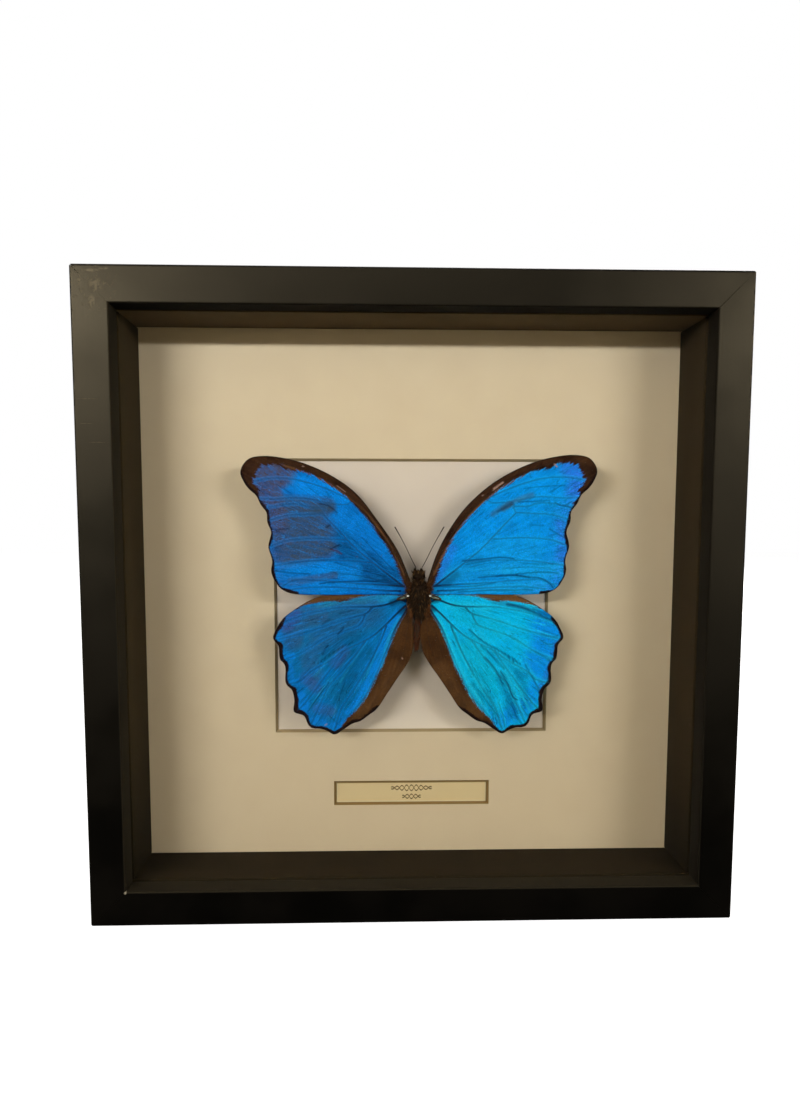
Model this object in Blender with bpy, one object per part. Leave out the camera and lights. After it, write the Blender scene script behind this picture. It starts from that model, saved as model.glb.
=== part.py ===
# Framed butterfly specimen: a black wooden box frame with glass, a cut mat and a spread butterfly.
# Metres, +Z up. The front faces -Y and the frame stands on its bottom rail, with the origin under its middle.
import math

import bmesh
import bpy
from mathutils import Matrix, Vector

MM = 0.001

# Frame
FRAME_WIDTH = 250 * MM
FRAME_HEIGHT = 248 * MM
FRAME_DEPTH = 45 * MM
FACE_WIDTH = 13.8 * MM  # front face of a rail, from the outer edge to the lip
WALL_THICKNESS = 9.3 * MM  # of a rail behind its lip
LIP_DEPTH = 8.5 * MM
OUTER_EDGE_RADIUS = 1.0 * MM
INNER_EDGE_RADIUS = 0.6 * MM
REAR_EDGE_RADIUS = 0.4 * MM
CORNER_RADIUS = 1.4 * MM
MITRE_GAP = 0.2 * MM
GAP = 0.3 * MM  # between pieces that touch

# Layers behind the lip, by their depth behind the frame's front face
GLASS_THICKNESS = 2 * MM
MAT_FRONT = 36 * MM
MAT_THICKNESS = 1.4 * MM
CARD_THICKNESS = 0.6 * MM
PANEL_THICKNESS = 2.5 * MM
GLASS_FRONT = LIP_DEPTH + GAP
SPACER_FRONT = GLASS_FRONT + GLASS_THICKNESS + GAP
SPACER_REAR = MAT_FRONT - GAP
MAT_REAR = MAT_FRONT + MAT_THICKNESS
CARD_FRONT = MAT_REAR + GAP
PANEL_FRONT = CARD_FRONT + CARD_THICKNESS + GAP
PANEL_REAR = PANEL_FRONT + PANEL_THICKNESS

# Windows in the mat: the size at the front, and how much the bevel takes off all round
WINDOW_SIZE = 115.8 * MM
WINDOW_BEVEL = 1.0 * MM
WINDOW_X = 0.3 * MM
LABEL_WIDTH = 66.8 * MM
LABEL_HEIGHT = 10.6 * MM
LABEL_BEVEL = 0.8 * MM
LABEL_X = 0.5 * MM
LABEL_DROP = 84.7 * MM  # below the middle of the frame
CARD_MARGIN = 9 * MM  # by which a card reaches past its window

# Butterfly, about the middle of its thorax
SPECIMEN_X = 2.6 * MM
SPECIMEN_RISE = 1.0 * MM  # above the middle of the frame
FOREWING_DEPTH = 24 * MM
HINDWING_DEPTH = 25 * MM
WING_THICKNESS = 0.3 * MM
WING_SLOPE = 0.052  # the wings rise towards the glass away from the body
WING_ROOT = 4 * MM
THORAX_HALF = (4.6 * MM, 4.3 * MM, 7.5 * MM)
THORAX_DEPTH = 25.4 * MM
HEAD_HALF = (2.3 * MM, 2.0 * MM, 1.9 * MM)
HEAD_RISE = 9.8 * MM
EYE_RADIUS = 1.15 * MM
EYE_PLACE = (1.7 * MM, -0.2 * MM, 0.2 * MM)  # from the middle of the head
ABDOMEN_RADIUS = 1.55 * MM
ABDOMEN_LENGTH = 14.2 * MM
ABDOMEN_TOP = -7.9 * MM
ABDOMEN_DRIFT = -0.9 * MM  # sideways, from its top to its tip
ABDOMEN_SEGMENTS = 8
ANTENNA_RADIUS = 0.22 * MM
BLOCK_RADIUS = 3 * MM

# Outlines in millimetres from the middle of the thorax, outwards and up, for the right-hand side.
# They run up the leading edge, down the scalloped outer margin and back to the root.
FOREWING = (
    (3.6, 7.0), (8.2, 20.0), (15.9, 33.0), (25.0, 42.7), (35.1, 49.8), (46.2, 54.7), (56.3, 57.0), (63.4, 57.3),
    (68.3, 55.8), (70.9, 51.3), (69.7, 47.3), (67.7, 44.3), (64.8, 41.6), (63.1, 38.0), (60.9, 34.9), (60.6, 31.0),
    (59.2, 26.8), (60.3, 21.2), (58.9, 15.6), (59.3, 10.9), (57.6, 6.7), (54.6, 3.4), (49.6, 1.8), (39.0, 1.4),
    (27.5, 1.5), (14.0, 1.5), (5.6, 1.6), (4.8, 4.4),
)
HINDWING = (
    (5.1, 0.6), (12.0, 3.2), (24.0, 4.6), (33.0, 3.4), (38.5, 1.3), (44.6, -1.1), (50.6, -4.8), (54.9, -8.1),
    (57.4, -11.9), (59.0, -16.1), (56.9, -19.4), (56.4, -24.4), (54.3, -27.8), (54.2, -34.4), (51.6, -37.8),
    (50.8, -41.8), (50.9, -46.6), (47.0, -48.3), (44.4, -53.0), (38.8, -54.2), (34.6, -56.3), (31.2, -54.6),
    (27.6, -52.2), (23.6, -50.8), (20.2, -48.3), (16.9, -45.7), (12.6, -39.2), (8.4, -32.9), (4.4, -27.0),
    (2.4, -21.5), (2.2, -14.0), (2.7, -8.2), (4.4, -4.8), (5.1, -2.2),
)
OUTLINE_STEPS = 3
SLICE_SPACING = 9 * MM

# Back
TAB_LENGTH = 12 * MM
TAB_WIDTH = 5 * MM
TAB_THICKNESS = 0.5 * MM
TAB_TILT = math.radians(3)
TAB_OFFSET = 60 * MM  # of each tab from the middle of its rail
HANGER_WIDTH = 34 * MM
HANGER_HEIGHT = 12 * MM
HANGER_THICKNESS = 0.8 * MM
HANGER_DROP = 24 * MM  # of its middle, below the top of the frame
HANGER_CORNER = 2.5 * MM
HANGER_TEETH = 7
TOOTH_PITCH = 2 * MM
TOOTH_HEIGHT = 1.2 * MM
SLOT_HEIGHT = 4.8 * MM
RIVET_SPACING = 25 * MM
RIVET_HOLE = 1.5 * MM
RIVET_SHANK = 1.2 * MM
RIVET_HEAD = 2.4 * MM
RIVET_DOME = 1.0 * MM

MIDDLE_Z = FRAME_HEIGHT / 2


def clear_scene():
    for obj in list(bpy.data.objects):
        bpy.data.objects.remove(obj, do_unlink=True)


def at_depth(depth):
    # Y of a plane this far behind the frame's front face
    return depth - FRAME_DEPTH / 2


def make_material(name, colour, roughness, metallic=0.0, transmission=0.0):
    material = bpy.data.materials.new(name)
    material.use_nodes = True
    shader = material.node_tree.nodes["Principled BSDF"]
    shader.inputs["Base Color"].default_value = (*colour, 1)
    shader.inputs["Roughness"].default_value = roughness
    shader.inputs["Metallic"].default_value = metallic
    shader.inputs["Transmission Weight"].default_value = transmission
    return material


def make_materials():
    return {
        "frame": make_material("black painted wood", (0.012, 0.010, 0.008), 0.45),
        "glass": make_material("glass", (0.9, 0.93, 0.92), 0.02, transmission=0.9),
        "spacer": make_material("black lining", (0.02, 0.018, 0.013), 0.7),
        "mat": make_material("cream mat board", (0.56, 0.46, 0.30), 0.9),
        "card": make_material("pale card", (0.62, 0.53, 0.42), 0.9),
        "label": make_material("label card", (0.66, 0.56, 0.36), 0.9),
        "panel": make_material("hardboard", (0.24, 0.13, 0.06), 0.8),
        "metal": make_material("zinc-plated steel", (0.6, 0.6, 0.6), 0.35, metallic=1.0),
        "block": make_material("cork", (0.45, 0.28, 0.15), 0.95),
        "body": make_material("dark brown down", (0.02, 0.012, 0.008), 0.95),
        "blue": make_material("blue wing scales", (0.0, 0.2, 0.75), 0.35),
        "cyan": make_material("pale blue wing scales", (0.0, 0.35, 0.7), 0.35),
        "antenna": make_material("dark antenna", (0.015, 0.010, 0.008), 0.6),
    }


def add_object(name, bm, material, parent=None):
    bmesh.ops.recalc_face_normals(bm, faces=bm.faces)
    mesh = bpy.data.meshes.new(name)
    bm.to_mesh(mesh)
    bm.free()
    mesh.materials.append(material)
    obj = bpy.data.objects.new(name, mesh)
    bpy.context.collection.objects.link(obj)
    obj.parent = parent
    return obj


def shade_smooth(obj, sharp_degrees=35):
    obj.data.shade_smooth()
    obj.data.set_sharp_from_angle(angle=math.radians(sharp_degrees))


def as_cutter(obj):
    obj.hide_render = True
    obj.display_type = "WIRE"
    return obj


def add_boolean(obj, cutter, operation):
    modifier = obj.modifiers.new(cutter.name, "BOOLEAN")
    modifier.object = cutter
    modifier.operation = operation
    modifier.solver = "EXACT"


def make_box(name, low, high, material, bevel=0.0):
    bm = bmesh.new()
    bmesh.ops.create_cube(bm, size=1)
    size = Vector(high) - Vector(low)
    middle = (Vector(high) + Vector(low)) / 2
    for vertex in bm.verts:
        vertex.co = Vector(a * b for a, b in zip(vertex.co, size)) + middle
    obj = add_object(name, bm, material)
    if bevel:
        rounding = obj.modifiers.new("edges", "BEVEL")
        rounding.width = bevel
        rounding.segments = 2
    return obj


def add_ring(bm, points):
    return [bm.verts.new(point) for point in points]


def loft(name, rings, material, parent=None):
    # A closed body through rings that have the same number of points
    bm = bmesh.new()
    loops = [add_ring(bm, ring) for ring in rings]
    count = len(rings[0])
    for near, far in zip(loops, loops[1:]):
        for k in range(count):
            bm.faces.new((near[k], near[(k + 1) % count], far[(k + 1) % count], far[k]))
    bm.faces.new(loops[0])
    bm.faces.new(reversed(loops[-1]))
    return add_object(name, bm, material, parent)


def arc(centre, radius, start, end, steps):
    angles = [math.radians(start + (end - start) * k / steps) for k in range(steps + 1)]
    return [(centre[0] + radius * math.cos(a), centre[1] + radius * math.sin(a)) for a in angles]


def rail_section():
    # (distance in from the outer edge, depth behind the front face), once round the L-shaped section
    outer, inner, rear = OUTER_EDGE_RADIUS, INNER_EDGE_RADIUS, REAR_EDGE_RADIUS
    section = arc((outer, outer), outer, 180, 270, 5)
    section += arc((FACE_WIDTH - inner, inner), inner, 270, 360, 4)
    section += [(FACE_WIDTH, LIP_DEPTH), (WALL_THICKNESS, LIP_DEPTH)]
    section += arc((WALL_THICKNESS - rear, FRAME_DEPTH - rear), rear, 0, 90, 2)
    section += arc((rear, FRAME_DEPTH - rear), rear, 90, 180, 2)
    return section


def make_envelope():
    # The frame's outside in plan, with its sanded corners
    half_width = FRAME_WIDTH / 2
    half_height = FRAME_HEIGHT / 2
    r = CORNER_RADIUS
    outline = []
    for turn, (x, z) in enumerate(((1, 1), (-1, 1), (-1, -1), (1, -1))):
        centre = (x * (half_width - r), z * (half_height - r))
        outline += arc(centre, r, 90 * turn, 90 * turn + 90, 5)
    rings = [[(x, y, z + MIDDLE_Z) for x, z in outline] for y in (-FRAME_DEPTH, FRAME_DEPTH)]
    return as_cutter(loft("frame_envelope", rings, None))


def make_rail(name, turn, length, half_across, envelope, material):
    # The rail is drawn as the top one, mitred at both ends, and then turned about the frame's middle
    rings = []
    for end in (-1, 1):
        ring = []
        for inset, depth in rail_section():
            along = end * (length / 2 - inset - MITRE_GAP / math.sqrt(2))
            ring.append(Vector((along, at_depth(depth), half_across - inset)))
        rings.append(ring)
    turned = Matrix.Rotation(math.radians(turn), 3, "Y")
    rings = [[turned @ point + Vector((0, 0, MIDDLE_Z)) for point in ring] for ring in rings]
    rail = loft(name, rings, material)
    add_boolean(rail, envelope, "INTERSECT")
    shade_smooth(rail)


def make_frame(materials):
    envelope = make_envelope()
    sides = (("top", 0), ("right", 90), ("bottom", 180), ("left", 270))
    for side, turn in sides:
        upright = turn % 180 == 90
        length = FRAME_HEIGHT if upright else FRAME_WIDTH
        across = FRAME_WIDTH if upright else FRAME_HEIGHT
        make_rail(f"frame_rail_{side}", turn, length, across / 2, envelope, materials["frame"])


def make_sheet(name, margin, front, thickness, material, bevel=0.0):
    # A flat sheet that fits the rabbet with this clearance all round
    half_width = FRAME_WIDTH / 2 - WALL_THICKNESS - margin
    half_height = FRAME_HEIGHT / 2 - WALL_THICKNESS - margin
    low = (-half_width, at_depth(front), MIDDLE_Z - half_height)
    high = (half_width, at_depth(front + thickness), MIDDLE_Z + half_height)
    return make_box(name, low, high, material, bevel)


def make_spacers(materials):
    outer_x = FRAME_WIDTH / 2 - WALL_THICKNESS - GAP
    outer_z = FRAME_HEIGHT / 2 - WALL_THICKNESS - GAP
    inner_x = FRAME_WIDTH / 2 - FACE_WIDTH
    inner_z = FRAME_HEIGHT / 2 - FACE_WIDTH
    y0 = at_depth(SPACER_FRONT)
    y1 = at_depth(SPACER_REAR)
    for side, sign in (("top", 1), ("bottom", -1)):
        z = sorted((MIDDLE_Z + sign * inner_z, MIDDLE_Z + sign * outer_z))
        make_box(f"spacer_{side}", (-outer_x, y0, z[0]), (outer_x, y1, z[1]), materials["spacer"], 0.2 * MM)
    for side, sign in (("right", 1), ("left", -1)):
        x = sorted((sign * inner_x, sign * outer_x))
        low = (x[0], y0, MIDDLE_Z - inner_z + GAP)
        high = (x[1], y1, MIDDLE_Z + inner_z - GAP)
        make_box(f"spacer_{side}", low, high, materials["spacer"], 0.2 * MM)


def make_window(name, width, height, bevel, centre_x, centre_z):
    # A cutter that narrows from its front size by the bevel over the mat's thickness
    rings = []
    for depth in (MAT_FRONT - MAT_THICKNESS, MAT_REAR + MAT_THICKNESS):
        shrink = bevel * (depth - MAT_FRONT) / MAT_THICKNESS
        x = width / 2 - shrink
        z = height / 2 - shrink
        corners = ((-x, -z), (x, -z), (x, z), (-x, z))
        rings.append([(centre_x + cx, at_depth(depth), centre_z + cz) for cx, cz in corners])
    return as_cutter(loft(name, rings, None))


def make_mat(materials):
    label_z = MIDDLE_Z - LABEL_DROP
    mat = make_sheet("mat_board", 2 * GAP, MAT_FRONT, MAT_THICKNESS, materials["mat"])
    windows = (
        ("specimen_window", WINDOW_SIZE, WINDOW_SIZE, WINDOW_BEVEL, WINDOW_X, MIDDLE_Z),
        ("label_window", LABEL_WIDTH, LABEL_HEIGHT, LABEL_BEVEL, LABEL_X, label_z),
    )
    for window in windows:
        add_boolean(mat, make_window(*window), "DIFFERENCE")
    cards = (
        ("backing_card", WINDOW_SIZE, WINDOW_SIZE, WINDOW_X, MIDDLE_Z, "card"),
        ("label_card", LABEL_WIDTH, LABEL_HEIGHT, LABEL_X, label_z, "label"),
    )
    for name, width, height, x, z, key in cards:
        half_x = width / 2 + CARD_MARGIN
        half_z = height / 2 + CARD_MARGIN
        low = (x - half_x, at_depth(CARD_FRONT), z - half_z)
        high = (x + half_x, at_depth(CARD_FRONT + CARD_THICKNESS), z + half_z)
        make_box(name, low, high, materials[key])


def smooth_outline(points, steps):
    # A closed Catmull-Rom curve through the points
    curve = []
    count = len(points)
    for k in range(count):
        p0, p1, p2, p3 = (Vector(points[(k + j) % count]) for j in (-1, 0, 1, 2))
        for step in range(steps):
            t = step / steps
            bend = (2 * p0 - 5 * p1 + 4 * p2 - p3) * t * t + (3 * p1 - p0 - 3 * p2 + p3) * t**3
            curve.append((2 * p1 + (p2 - p0) * t + bend) / 2)
    return curve


def wing_rise(x):
    # How far the wing stands nearer the glass than its root
    return WING_SLOPE * max(0.0, abs(x) - WING_ROOT)


def make_wing(name, outline, side, depth, material, parent):
    bm = bmesh.new()
    points = smooth_outline(outline, OUTLINE_STEPS)
    rim = [bm.verts.new((side * p.x * MM, 0, p.y * MM)) for p in points]
    bm.faces.new(rim)
    reach = max(p.x for p in points) * MM
    for k in range(int(reach / SLICE_SPACING) + 1):
        geometry = bm.verts[:] + bm.edges[:] + bm.faces[:]
        place = (side * (WING_ROOT + k * SLICE_SPACING), 0, 0)
        bmesh.ops.bisect_plane(bm, geom=geometry, plane_co=place, plane_no=(1, 0, 0))
    bmesh.ops.triangulate(bm, faces=bm.faces)
    for vertex in bm.verts:
        vertex.co.y = at_depth(depth) - parent.location.y - wing_rise(vertex.co.x)
    bmesh.ops.recalc_face_normals(bm, faces=bm.faces)
    lifted = bmesh.ops.extrude_face_region(bm, geom=bm.faces[:], use_keep_orig=True)
    for vertex in (v for v in lifted["geom"] if isinstance(v, bmesh.types.BMVert)):
        vertex.co.y += WING_THICKNESS
    wing = add_object(name, bm, material, parent)
    shade_smooth(wing)


def sagged(outline):
    # The left forewing's leading edge bows a little less than the right one's
    lowered = []
    for x, z in outline:
        leading = min(1.0, max(0.0, z / max(x, 1) - 0.9))
        bow = leading * math.exp(-(((math.hypot(x, z) - 33) / 14) ** 2))
        lowered.append((x + 0.9 * bow, z * 0.985 - 1.6 * bow))
    return lowered


def make_ellipsoid(bm, half, centre, segments, rings):
    stretch = Matrix.Diagonal((*half, 1))
    bmesh.ops.create_uvsphere(bm, u_segments=segments, v_segments=rings, radius=1, matrix=stretch)
    for vertex in bm.verts:
        vertex.co += Vector(centre)


def make_thorax(materials, parent):
    bm = bmesh.new()
    y = at_depth(THORAX_DEPTH) - parent.location.y
    make_ellipsoid(bm, THORAX_HALF, (0, y, 0), 20, 14)
    shade_smooth(add_object("thorax", bm, materials["body"], parent))


def make_head(materials, parent):
    y = at_depth(THORAX_DEPTH) - parent.location.y
    bm = bmesh.new()
    make_ellipsoid(bm, HEAD_HALF, (0, y, HEAD_RISE), 16, 10)
    head = add_object("head", bm, materials["body"], parent)
    for side, sign in (("left", -1), ("right", 1)):
        bm = bmesh.new()
        place = (sign * EYE_PLACE[0], y + EYE_PLACE[1], HEAD_RISE + EYE_PLACE[2])
        make_ellipsoid(bm, (EYE_RADIUS, EYE_RADIUS, EYE_RADIUS), place, 12, 8)
        add_boolean(head, as_cutter(add_object(f"eye_{side}", bm, None, parent)), "UNION")
    shade_smooth(head)


def make_abdomen(materials, parent):
    # Turned rings that swell after the waist and close at the tip, with a faint groove between segments
    y = at_depth(THORAX_DEPTH) - parent.location.y
    rings = []
    steps = 2 * ABDOMEN_SEGMENTS
    for k in range(steps + 1):
        t = k / steps
        swell = math.sin(math.pi * min(0.97, 0.22 + 0.75 * t)) ** 0.7
        groove = 0.94 if k % 2 else 1.0
        radius = ABDOMEN_RADIUS * swell * groove
        z = ABDOMEN_TOP - ABDOMEN_LENGTH * t
        x = ABDOMEN_DRIFT * (0.2 + 0.8 * t)
        angles = [2 * math.pi * j / 14 for j in range(14)]
        rings.append([(x + radius * math.cos(a), y + radius * math.sin(a), z) for a in angles])
    shade_smooth(loft("abdomen", rings, materials["body"], parent), 60)


def make_antenna(name, sign, materials, parent):
    y = at_depth(THORAX_DEPTH) - parent.location.y
    route = (
        (sign * 1.2, -0.9, 12.2), (sign * 3.0, -1.3, 15.6), (sign * 5.1, -1.8, 20.0), (sign * 7.2, -2.2, 24.0),
        (sign * 9.9, -2.7, 28.8),
    )
    curve = bpy.data.curves.new(name, "CURVE")
    curve.dimensions = "3D"
    curve.bevel_depth = ANTENNA_RADIUS
    curve.bevel_resolution = 1
    curve.use_fill_caps = True
    curve.resolution_u = 4
    spline = curve.splines.new("NURBS")
    spline.points.add(len(route) - 1)
    for point, (x, offset, z) in zip(spline.points, route):
        point.co = (x * MM, y + offset * MM, z * MM, 1)
    for point in spline.points[-2:]:
        point.radius = 1.5
    spline.order_u = 4
    spline.use_endpoint_u = True
    curve.materials.append(materials["antenna"])
    antenna = bpy.data.objects.new(name, curve)
    bpy.context.collection.objects.link(antenna)
    antenna.parent = parent


def make_block(materials, parent):
    # A small plug between the card and the underside of the thorax
    front = THORAX_DEPTH + THORAX_HALF[1] + GAP
    length = CARD_FRONT - GAP - front
    bm = bmesh.new()
    bmesh.ops.create_cone(
        bm, cap_ends=True, segments=24, radius1=BLOCK_RADIUS, radius2=BLOCK_RADIUS, depth=length,
        matrix=Matrix.Rotation(math.radians(90), 4, "X"),
    )
    block = add_object("specimen_block", bm, materials["block"], parent)
    block.location.y = at_depth(front + length / 2) - parent.location.y
    shade_smooth(block)


def make_butterfly(materials):
    specimen = bpy.data.objects.new("specimen", None)
    specimen.location = (SPECIMEN_X, at_depth(FOREWING_DEPTH), MIDDLE_Z + SPECIMEN_RISE)
    bpy.context.collection.objects.link(specimen)
    make_thorax(materials, specimen)
    make_head(materials, specimen)
    make_abdomen(materials, specimen)
    make_block(materials, specimen)
    make_wing("forewing_right", FOREWING, 1, FOREWING_DEPTH, materials["blue"], specimen)
    make_wing("forewing_left", sagged(FOREWING), -1, FOREWING_DEPTH, materials["blue"], specimen)
    make_wing("hindwing_right", HINDWING, 1, HINDWING_DEPTH, materials["cyan"], specimen)
    make_wing("hindwing_left", HINDWING, -1, HINDWING_DEPTH, materials["cyan"], specimen)
    make_antenna("antenna_right", 1, materials, specimen)
    make_antenna("antenna_left", -1, materials, specimen)


def tab_outline():
    # A tongue with a rounded end, from the rail inwards
    half = TAB_WIDTH / 2
    tip = arc((0, -(TAB_LENGTH - half)), half, 0, -180, 8)
    return [(-half, 0), (half, 0)] + tip


def make_tabs(materials):
    sides = ((0, FRAME_HEIGHT), (90, FRAME_WIDTH), (180, FRAME_HEIGHT), (270, FRAME_WIDTH))
    number = 0
    for turn, across in sides:
        for offset in (-TAB_OFFSET, TAB_OFFSET):
            number += 1
            layers = [[(x, y, z) for x, z in tab_outline()] for y in (0, TAB_THICKNESS)]
            tab = loft(f"retaining_tab_{number}", layers, materials["metal"])
            root = Vector((offset, 0, across / 2 - WALL_THICKNESS - GAP))
            turned = Matrix.Rotation(math.radians(turn), 4, "Y")
            lift = TAB_LENGTH * math.sin(TAB_TILT)
            tab.location = turned @ root + Vector((0, at_depth(PANEL_REAR + GAP) + lift, MIDDLE_Z))
            tab.rotation_euler = (turned @ Matrix.Rotation(TAB_TILT, 4, "X")).to_euler()


def hanger_slot():
    # A flat-bottomed slot with teeth along its upper edge, where a nail head catches
    half = HANGER_TEETH * TOOTH_PITCH / 2
    outline = [(half, -SLOT_HEIGHT / 2), (half, SLOT_HEIGHT / 2)]
    for k in range(HANGER_TEETH):
        x = half - k * TOOTH_PITCH
        outline.append((x - TOOTH_PITCH / 2, SLOT_HEIGHT / 2 + TOOTH_HEIGHT))
        outline.append((x - TOOTH_PITCH, SLOT_HEIGHT / 2))
    outline.append((-half, -SLOT_HEIGHT / 2))
    return outline


def make_hanger(materials):
    z = FRAME_HEIGHT - HANGER_DROP
    front = PANEL_REAR + GAP
    half_x = HANGER_WIDTH / 2
    half_z = HANGER_HEIGHT / 2
    r = HANGER_CORNER
    outline = []
    for turn, (sx, sz) in enumerate(((1, 1), (-1, 1), (-1, -1), (1, -1))):
        outline += arc((sx * (half_x - r), sz * (half_z - r)), r, 90 * turn, 90 * turn + 90, 4)
    y0 = at_depth(front)
    y1 = at_depth(front + HANGER_THICKNESS)
    plate_rings = [[(x, y, z + dz) for x, dz in outline] for y in (y0, y1)]
    plate = loft("hanger_plate", plate_rings, materials["metal"])
    reach = (y0 - MM, y1 + MM)
    slot = loft("hanger_slot", [[(x, y, z + dz) for x, dz in hanger_slot()] for y in reach], None)
    add_boolean(plate, as_cutter(slot), "DIFFERENCE")
    circle = arc((0, 0), 1.0, 0, 337.5, 15)
    for side, sign in (("left", -1), ("right", 1)):
        x = sign * RIVET_SPACING / 2
        hole_rings = [[(x + RIVET_HOLE * c, y, z + RIVET_HOLE * s) for c, s in circle] for y in reach]
        add_boolean(plate, as_cutter(loft(f"rivet_hole_{side}", hole_rings, None)), "DIFFERENCE")
        profile = [(RIVET_SHANK, y0), (RIVET_SHANK, y1 + GAP), (RIVET_HEAD, y1 + GAP)]
        for k in range(1, 4):
            a = math.radians(90 * k / 4)
            profile.append((RIVET_HEAD * math.cos(a), y1 + GAP + RIVET_DOME * math.sin(a)))
        rings = [[(x + radius * c, y, z + radius * s) for c, s in circle] for radius, y in profile]
        shade_smooth(loft(f"hanger_rivet_{side}", rings, materials["metal"]))


def make_part():
    clear_scene()
    materials = make_materials()
    make_frame(materials)
    make_sheet("glass_pane", GAP, GLASS_FRONT, GLASS_THICKNESS, materials["glass"], 0.3 * MM)
    make_spacers(materials)
    make_mat(materials)
    make_butterfly(materials)
    make_sheet("back_panel", 2 * GAP, PANEL_FRONT, PANEL_THICKNESS, materials["panel"], 0.3 * MM)
    make_tabs(materials)
    make_hanger(materials)


make_part()
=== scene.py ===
import functools
import math

import bpy
import numpy as np
from mathutils import Matrix, Vector


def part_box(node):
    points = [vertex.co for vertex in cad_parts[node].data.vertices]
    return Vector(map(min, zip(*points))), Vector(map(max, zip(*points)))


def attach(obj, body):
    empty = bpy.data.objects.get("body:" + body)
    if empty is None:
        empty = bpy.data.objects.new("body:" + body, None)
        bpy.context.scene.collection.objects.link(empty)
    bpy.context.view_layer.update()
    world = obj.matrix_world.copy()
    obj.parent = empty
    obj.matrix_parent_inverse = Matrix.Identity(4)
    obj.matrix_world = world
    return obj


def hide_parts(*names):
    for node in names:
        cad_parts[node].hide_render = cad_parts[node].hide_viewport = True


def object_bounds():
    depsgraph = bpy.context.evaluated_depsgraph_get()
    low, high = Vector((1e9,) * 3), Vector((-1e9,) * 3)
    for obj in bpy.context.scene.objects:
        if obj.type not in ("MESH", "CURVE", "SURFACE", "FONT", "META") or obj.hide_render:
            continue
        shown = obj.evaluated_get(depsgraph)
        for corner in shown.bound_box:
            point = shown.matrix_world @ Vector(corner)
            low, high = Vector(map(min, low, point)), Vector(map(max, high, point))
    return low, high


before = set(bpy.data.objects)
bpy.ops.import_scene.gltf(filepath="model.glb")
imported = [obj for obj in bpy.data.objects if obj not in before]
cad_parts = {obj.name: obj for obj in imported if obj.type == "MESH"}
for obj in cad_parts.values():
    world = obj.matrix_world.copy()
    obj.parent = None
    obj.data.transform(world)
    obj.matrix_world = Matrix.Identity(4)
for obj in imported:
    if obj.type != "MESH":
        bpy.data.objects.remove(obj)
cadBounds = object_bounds()
mm = 0.001
thoraxLow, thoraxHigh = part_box("thorax")
specimenCentre = (thoraxLow + thoraxHigh) / 2  # everything on the butterfly is measured from here
centre = np.array(specimenCentre) / mm
frontY = cadBounds[0].y
middleZ = (cadBounds[0].z + cadBounds[1].z) / 2
bpy.ops.object.select_all(action="DESELECT")
print("frame loaded,", len(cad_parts), "nodes")

smooth = {"interpolation_type": "SMOOTHSTEP"}  # for a Map Range node that eases in and out
tinted = {"out": 2, "data_type": "RGBA"}  # for a Mix node that mixes colours


def linear(hexColour):
    # sRGB hex to the linear values that a colour socket holds
    channels = [int(hexColour[k:k + 2], 16) / 255 for k in (1, 3, 5)]
    return [c / 12.92 if c <= 0.04045 else ((c + 0.055) / 1.055) ** 2.4 for c in channels] + [1.0]


def addNode(tree, kind, inputs=(), out=0, stops=(), **settings):
    # Adds a node, sets it, links its inputs, given by name or in their order, and gives back its output
    node = tree.nodes.new("ShaderNode" + kind)
    for key, value in settings.items():
        setattr(node, key, value)
    for key, value in inputs.items() if isinstance(inputs, dict) else enumerate(inputs):
        if isinstance(value, bpy.types.NodeSocket):
            tree.links.new(value, node.inputs[key])
        else:
            node.inputs[key].default_value = linear(value) if isinstance(value, str) else value
    for k, (position, colour) in enumerate(stops):
        ramp = node.color_ramp.elements
        step = ramp[k] if k < 2 else ramp.new(position)
        step.position, step.color = position, linear(colour)
    return node.outputs[out] if node.outputs else node


def newMaterial(name, **sockets):
    # A material with one Principled shader, its constants set on its own sockets; add() puts nodes in it
    material = bpy.data.materials.new(name)
    material.use_nodes = True
    tree = material.node_tree
    tree.nodes.clear()
    add = functools.partial(addNode, tree)
    add("OutputMaterial", {"Surface": add("BsdfPrincipled")})
    shader = next(node for node in tree.nodes if node.type == "BSDF_PRINCIPLED")
    for key, value in sockets.items():
        socket = shader.inputs[key.replace("_", " ")]
        socket.default_value = linear(value) if isinstance(value, str) else value
    return material, shader, add


def feed(shader, **sockets):
    # Links outputs into the shader's own sockets
    for key, value in sockets.items():
        shader.id_data.links.new(value, shader.inputs[key.replace("_", " ")])


def perSize(size):
    return 1 / (size * mm)  # the noise scale whose features are about this many millimetres


def dressNodes(names, material):
    for name in names:
        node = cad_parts[name]
        node.data.materials.clear()
        node.data.materials.append(material)


def finishPiece(piece, material, slot, *replaced):
    piece.data.materials.clear()
    piece.data.materials.append(material)
    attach(piece, "root")
    if replaced:
        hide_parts(*replaced)


def selectOnly(piece):
    bpy.ops.object.select_all(action="DESELECT")
    bpy.context.view_layer.objects.active = piece
    piece.select_set(True)


def linkPiece(name, data):
    piece = bpy.data.objects.new(name, data)
    bpy.context.scene.collection.objects.link(piece)
    return piece


def applyModifiers(piece):
    selectOnly(piece)
    for modifier in list(piece.modifiers):
        bpy.ops.object.modifier_apply(modifier=modifier.name)
    piece.select_set(False)


def bakePlace(piece):
    # The finished piece's object sits at the origin, with its place in its mesh
    selectOnly(piece)
    bpy.ops.object.transform_apply(location=True, rotation=True, scale=True)
    piece.select_set(False)


def storeField(mesh, name, values, kind="FLOAT", key="value"):
    # Keeps a value at each vertex for the materials to read
    mesh.attributes.new(name, kind, "POINT").data.foreach_set(key, values.astype(np.float32).ravel())


def meshCorners(mesh):
    corners = np.zeros(len(mesh.vertices) * 3, np.float32)
    mesh.vertices.foreach_get("co", corners)
    return corners.reshape(-1, 3).astype(float)


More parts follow.
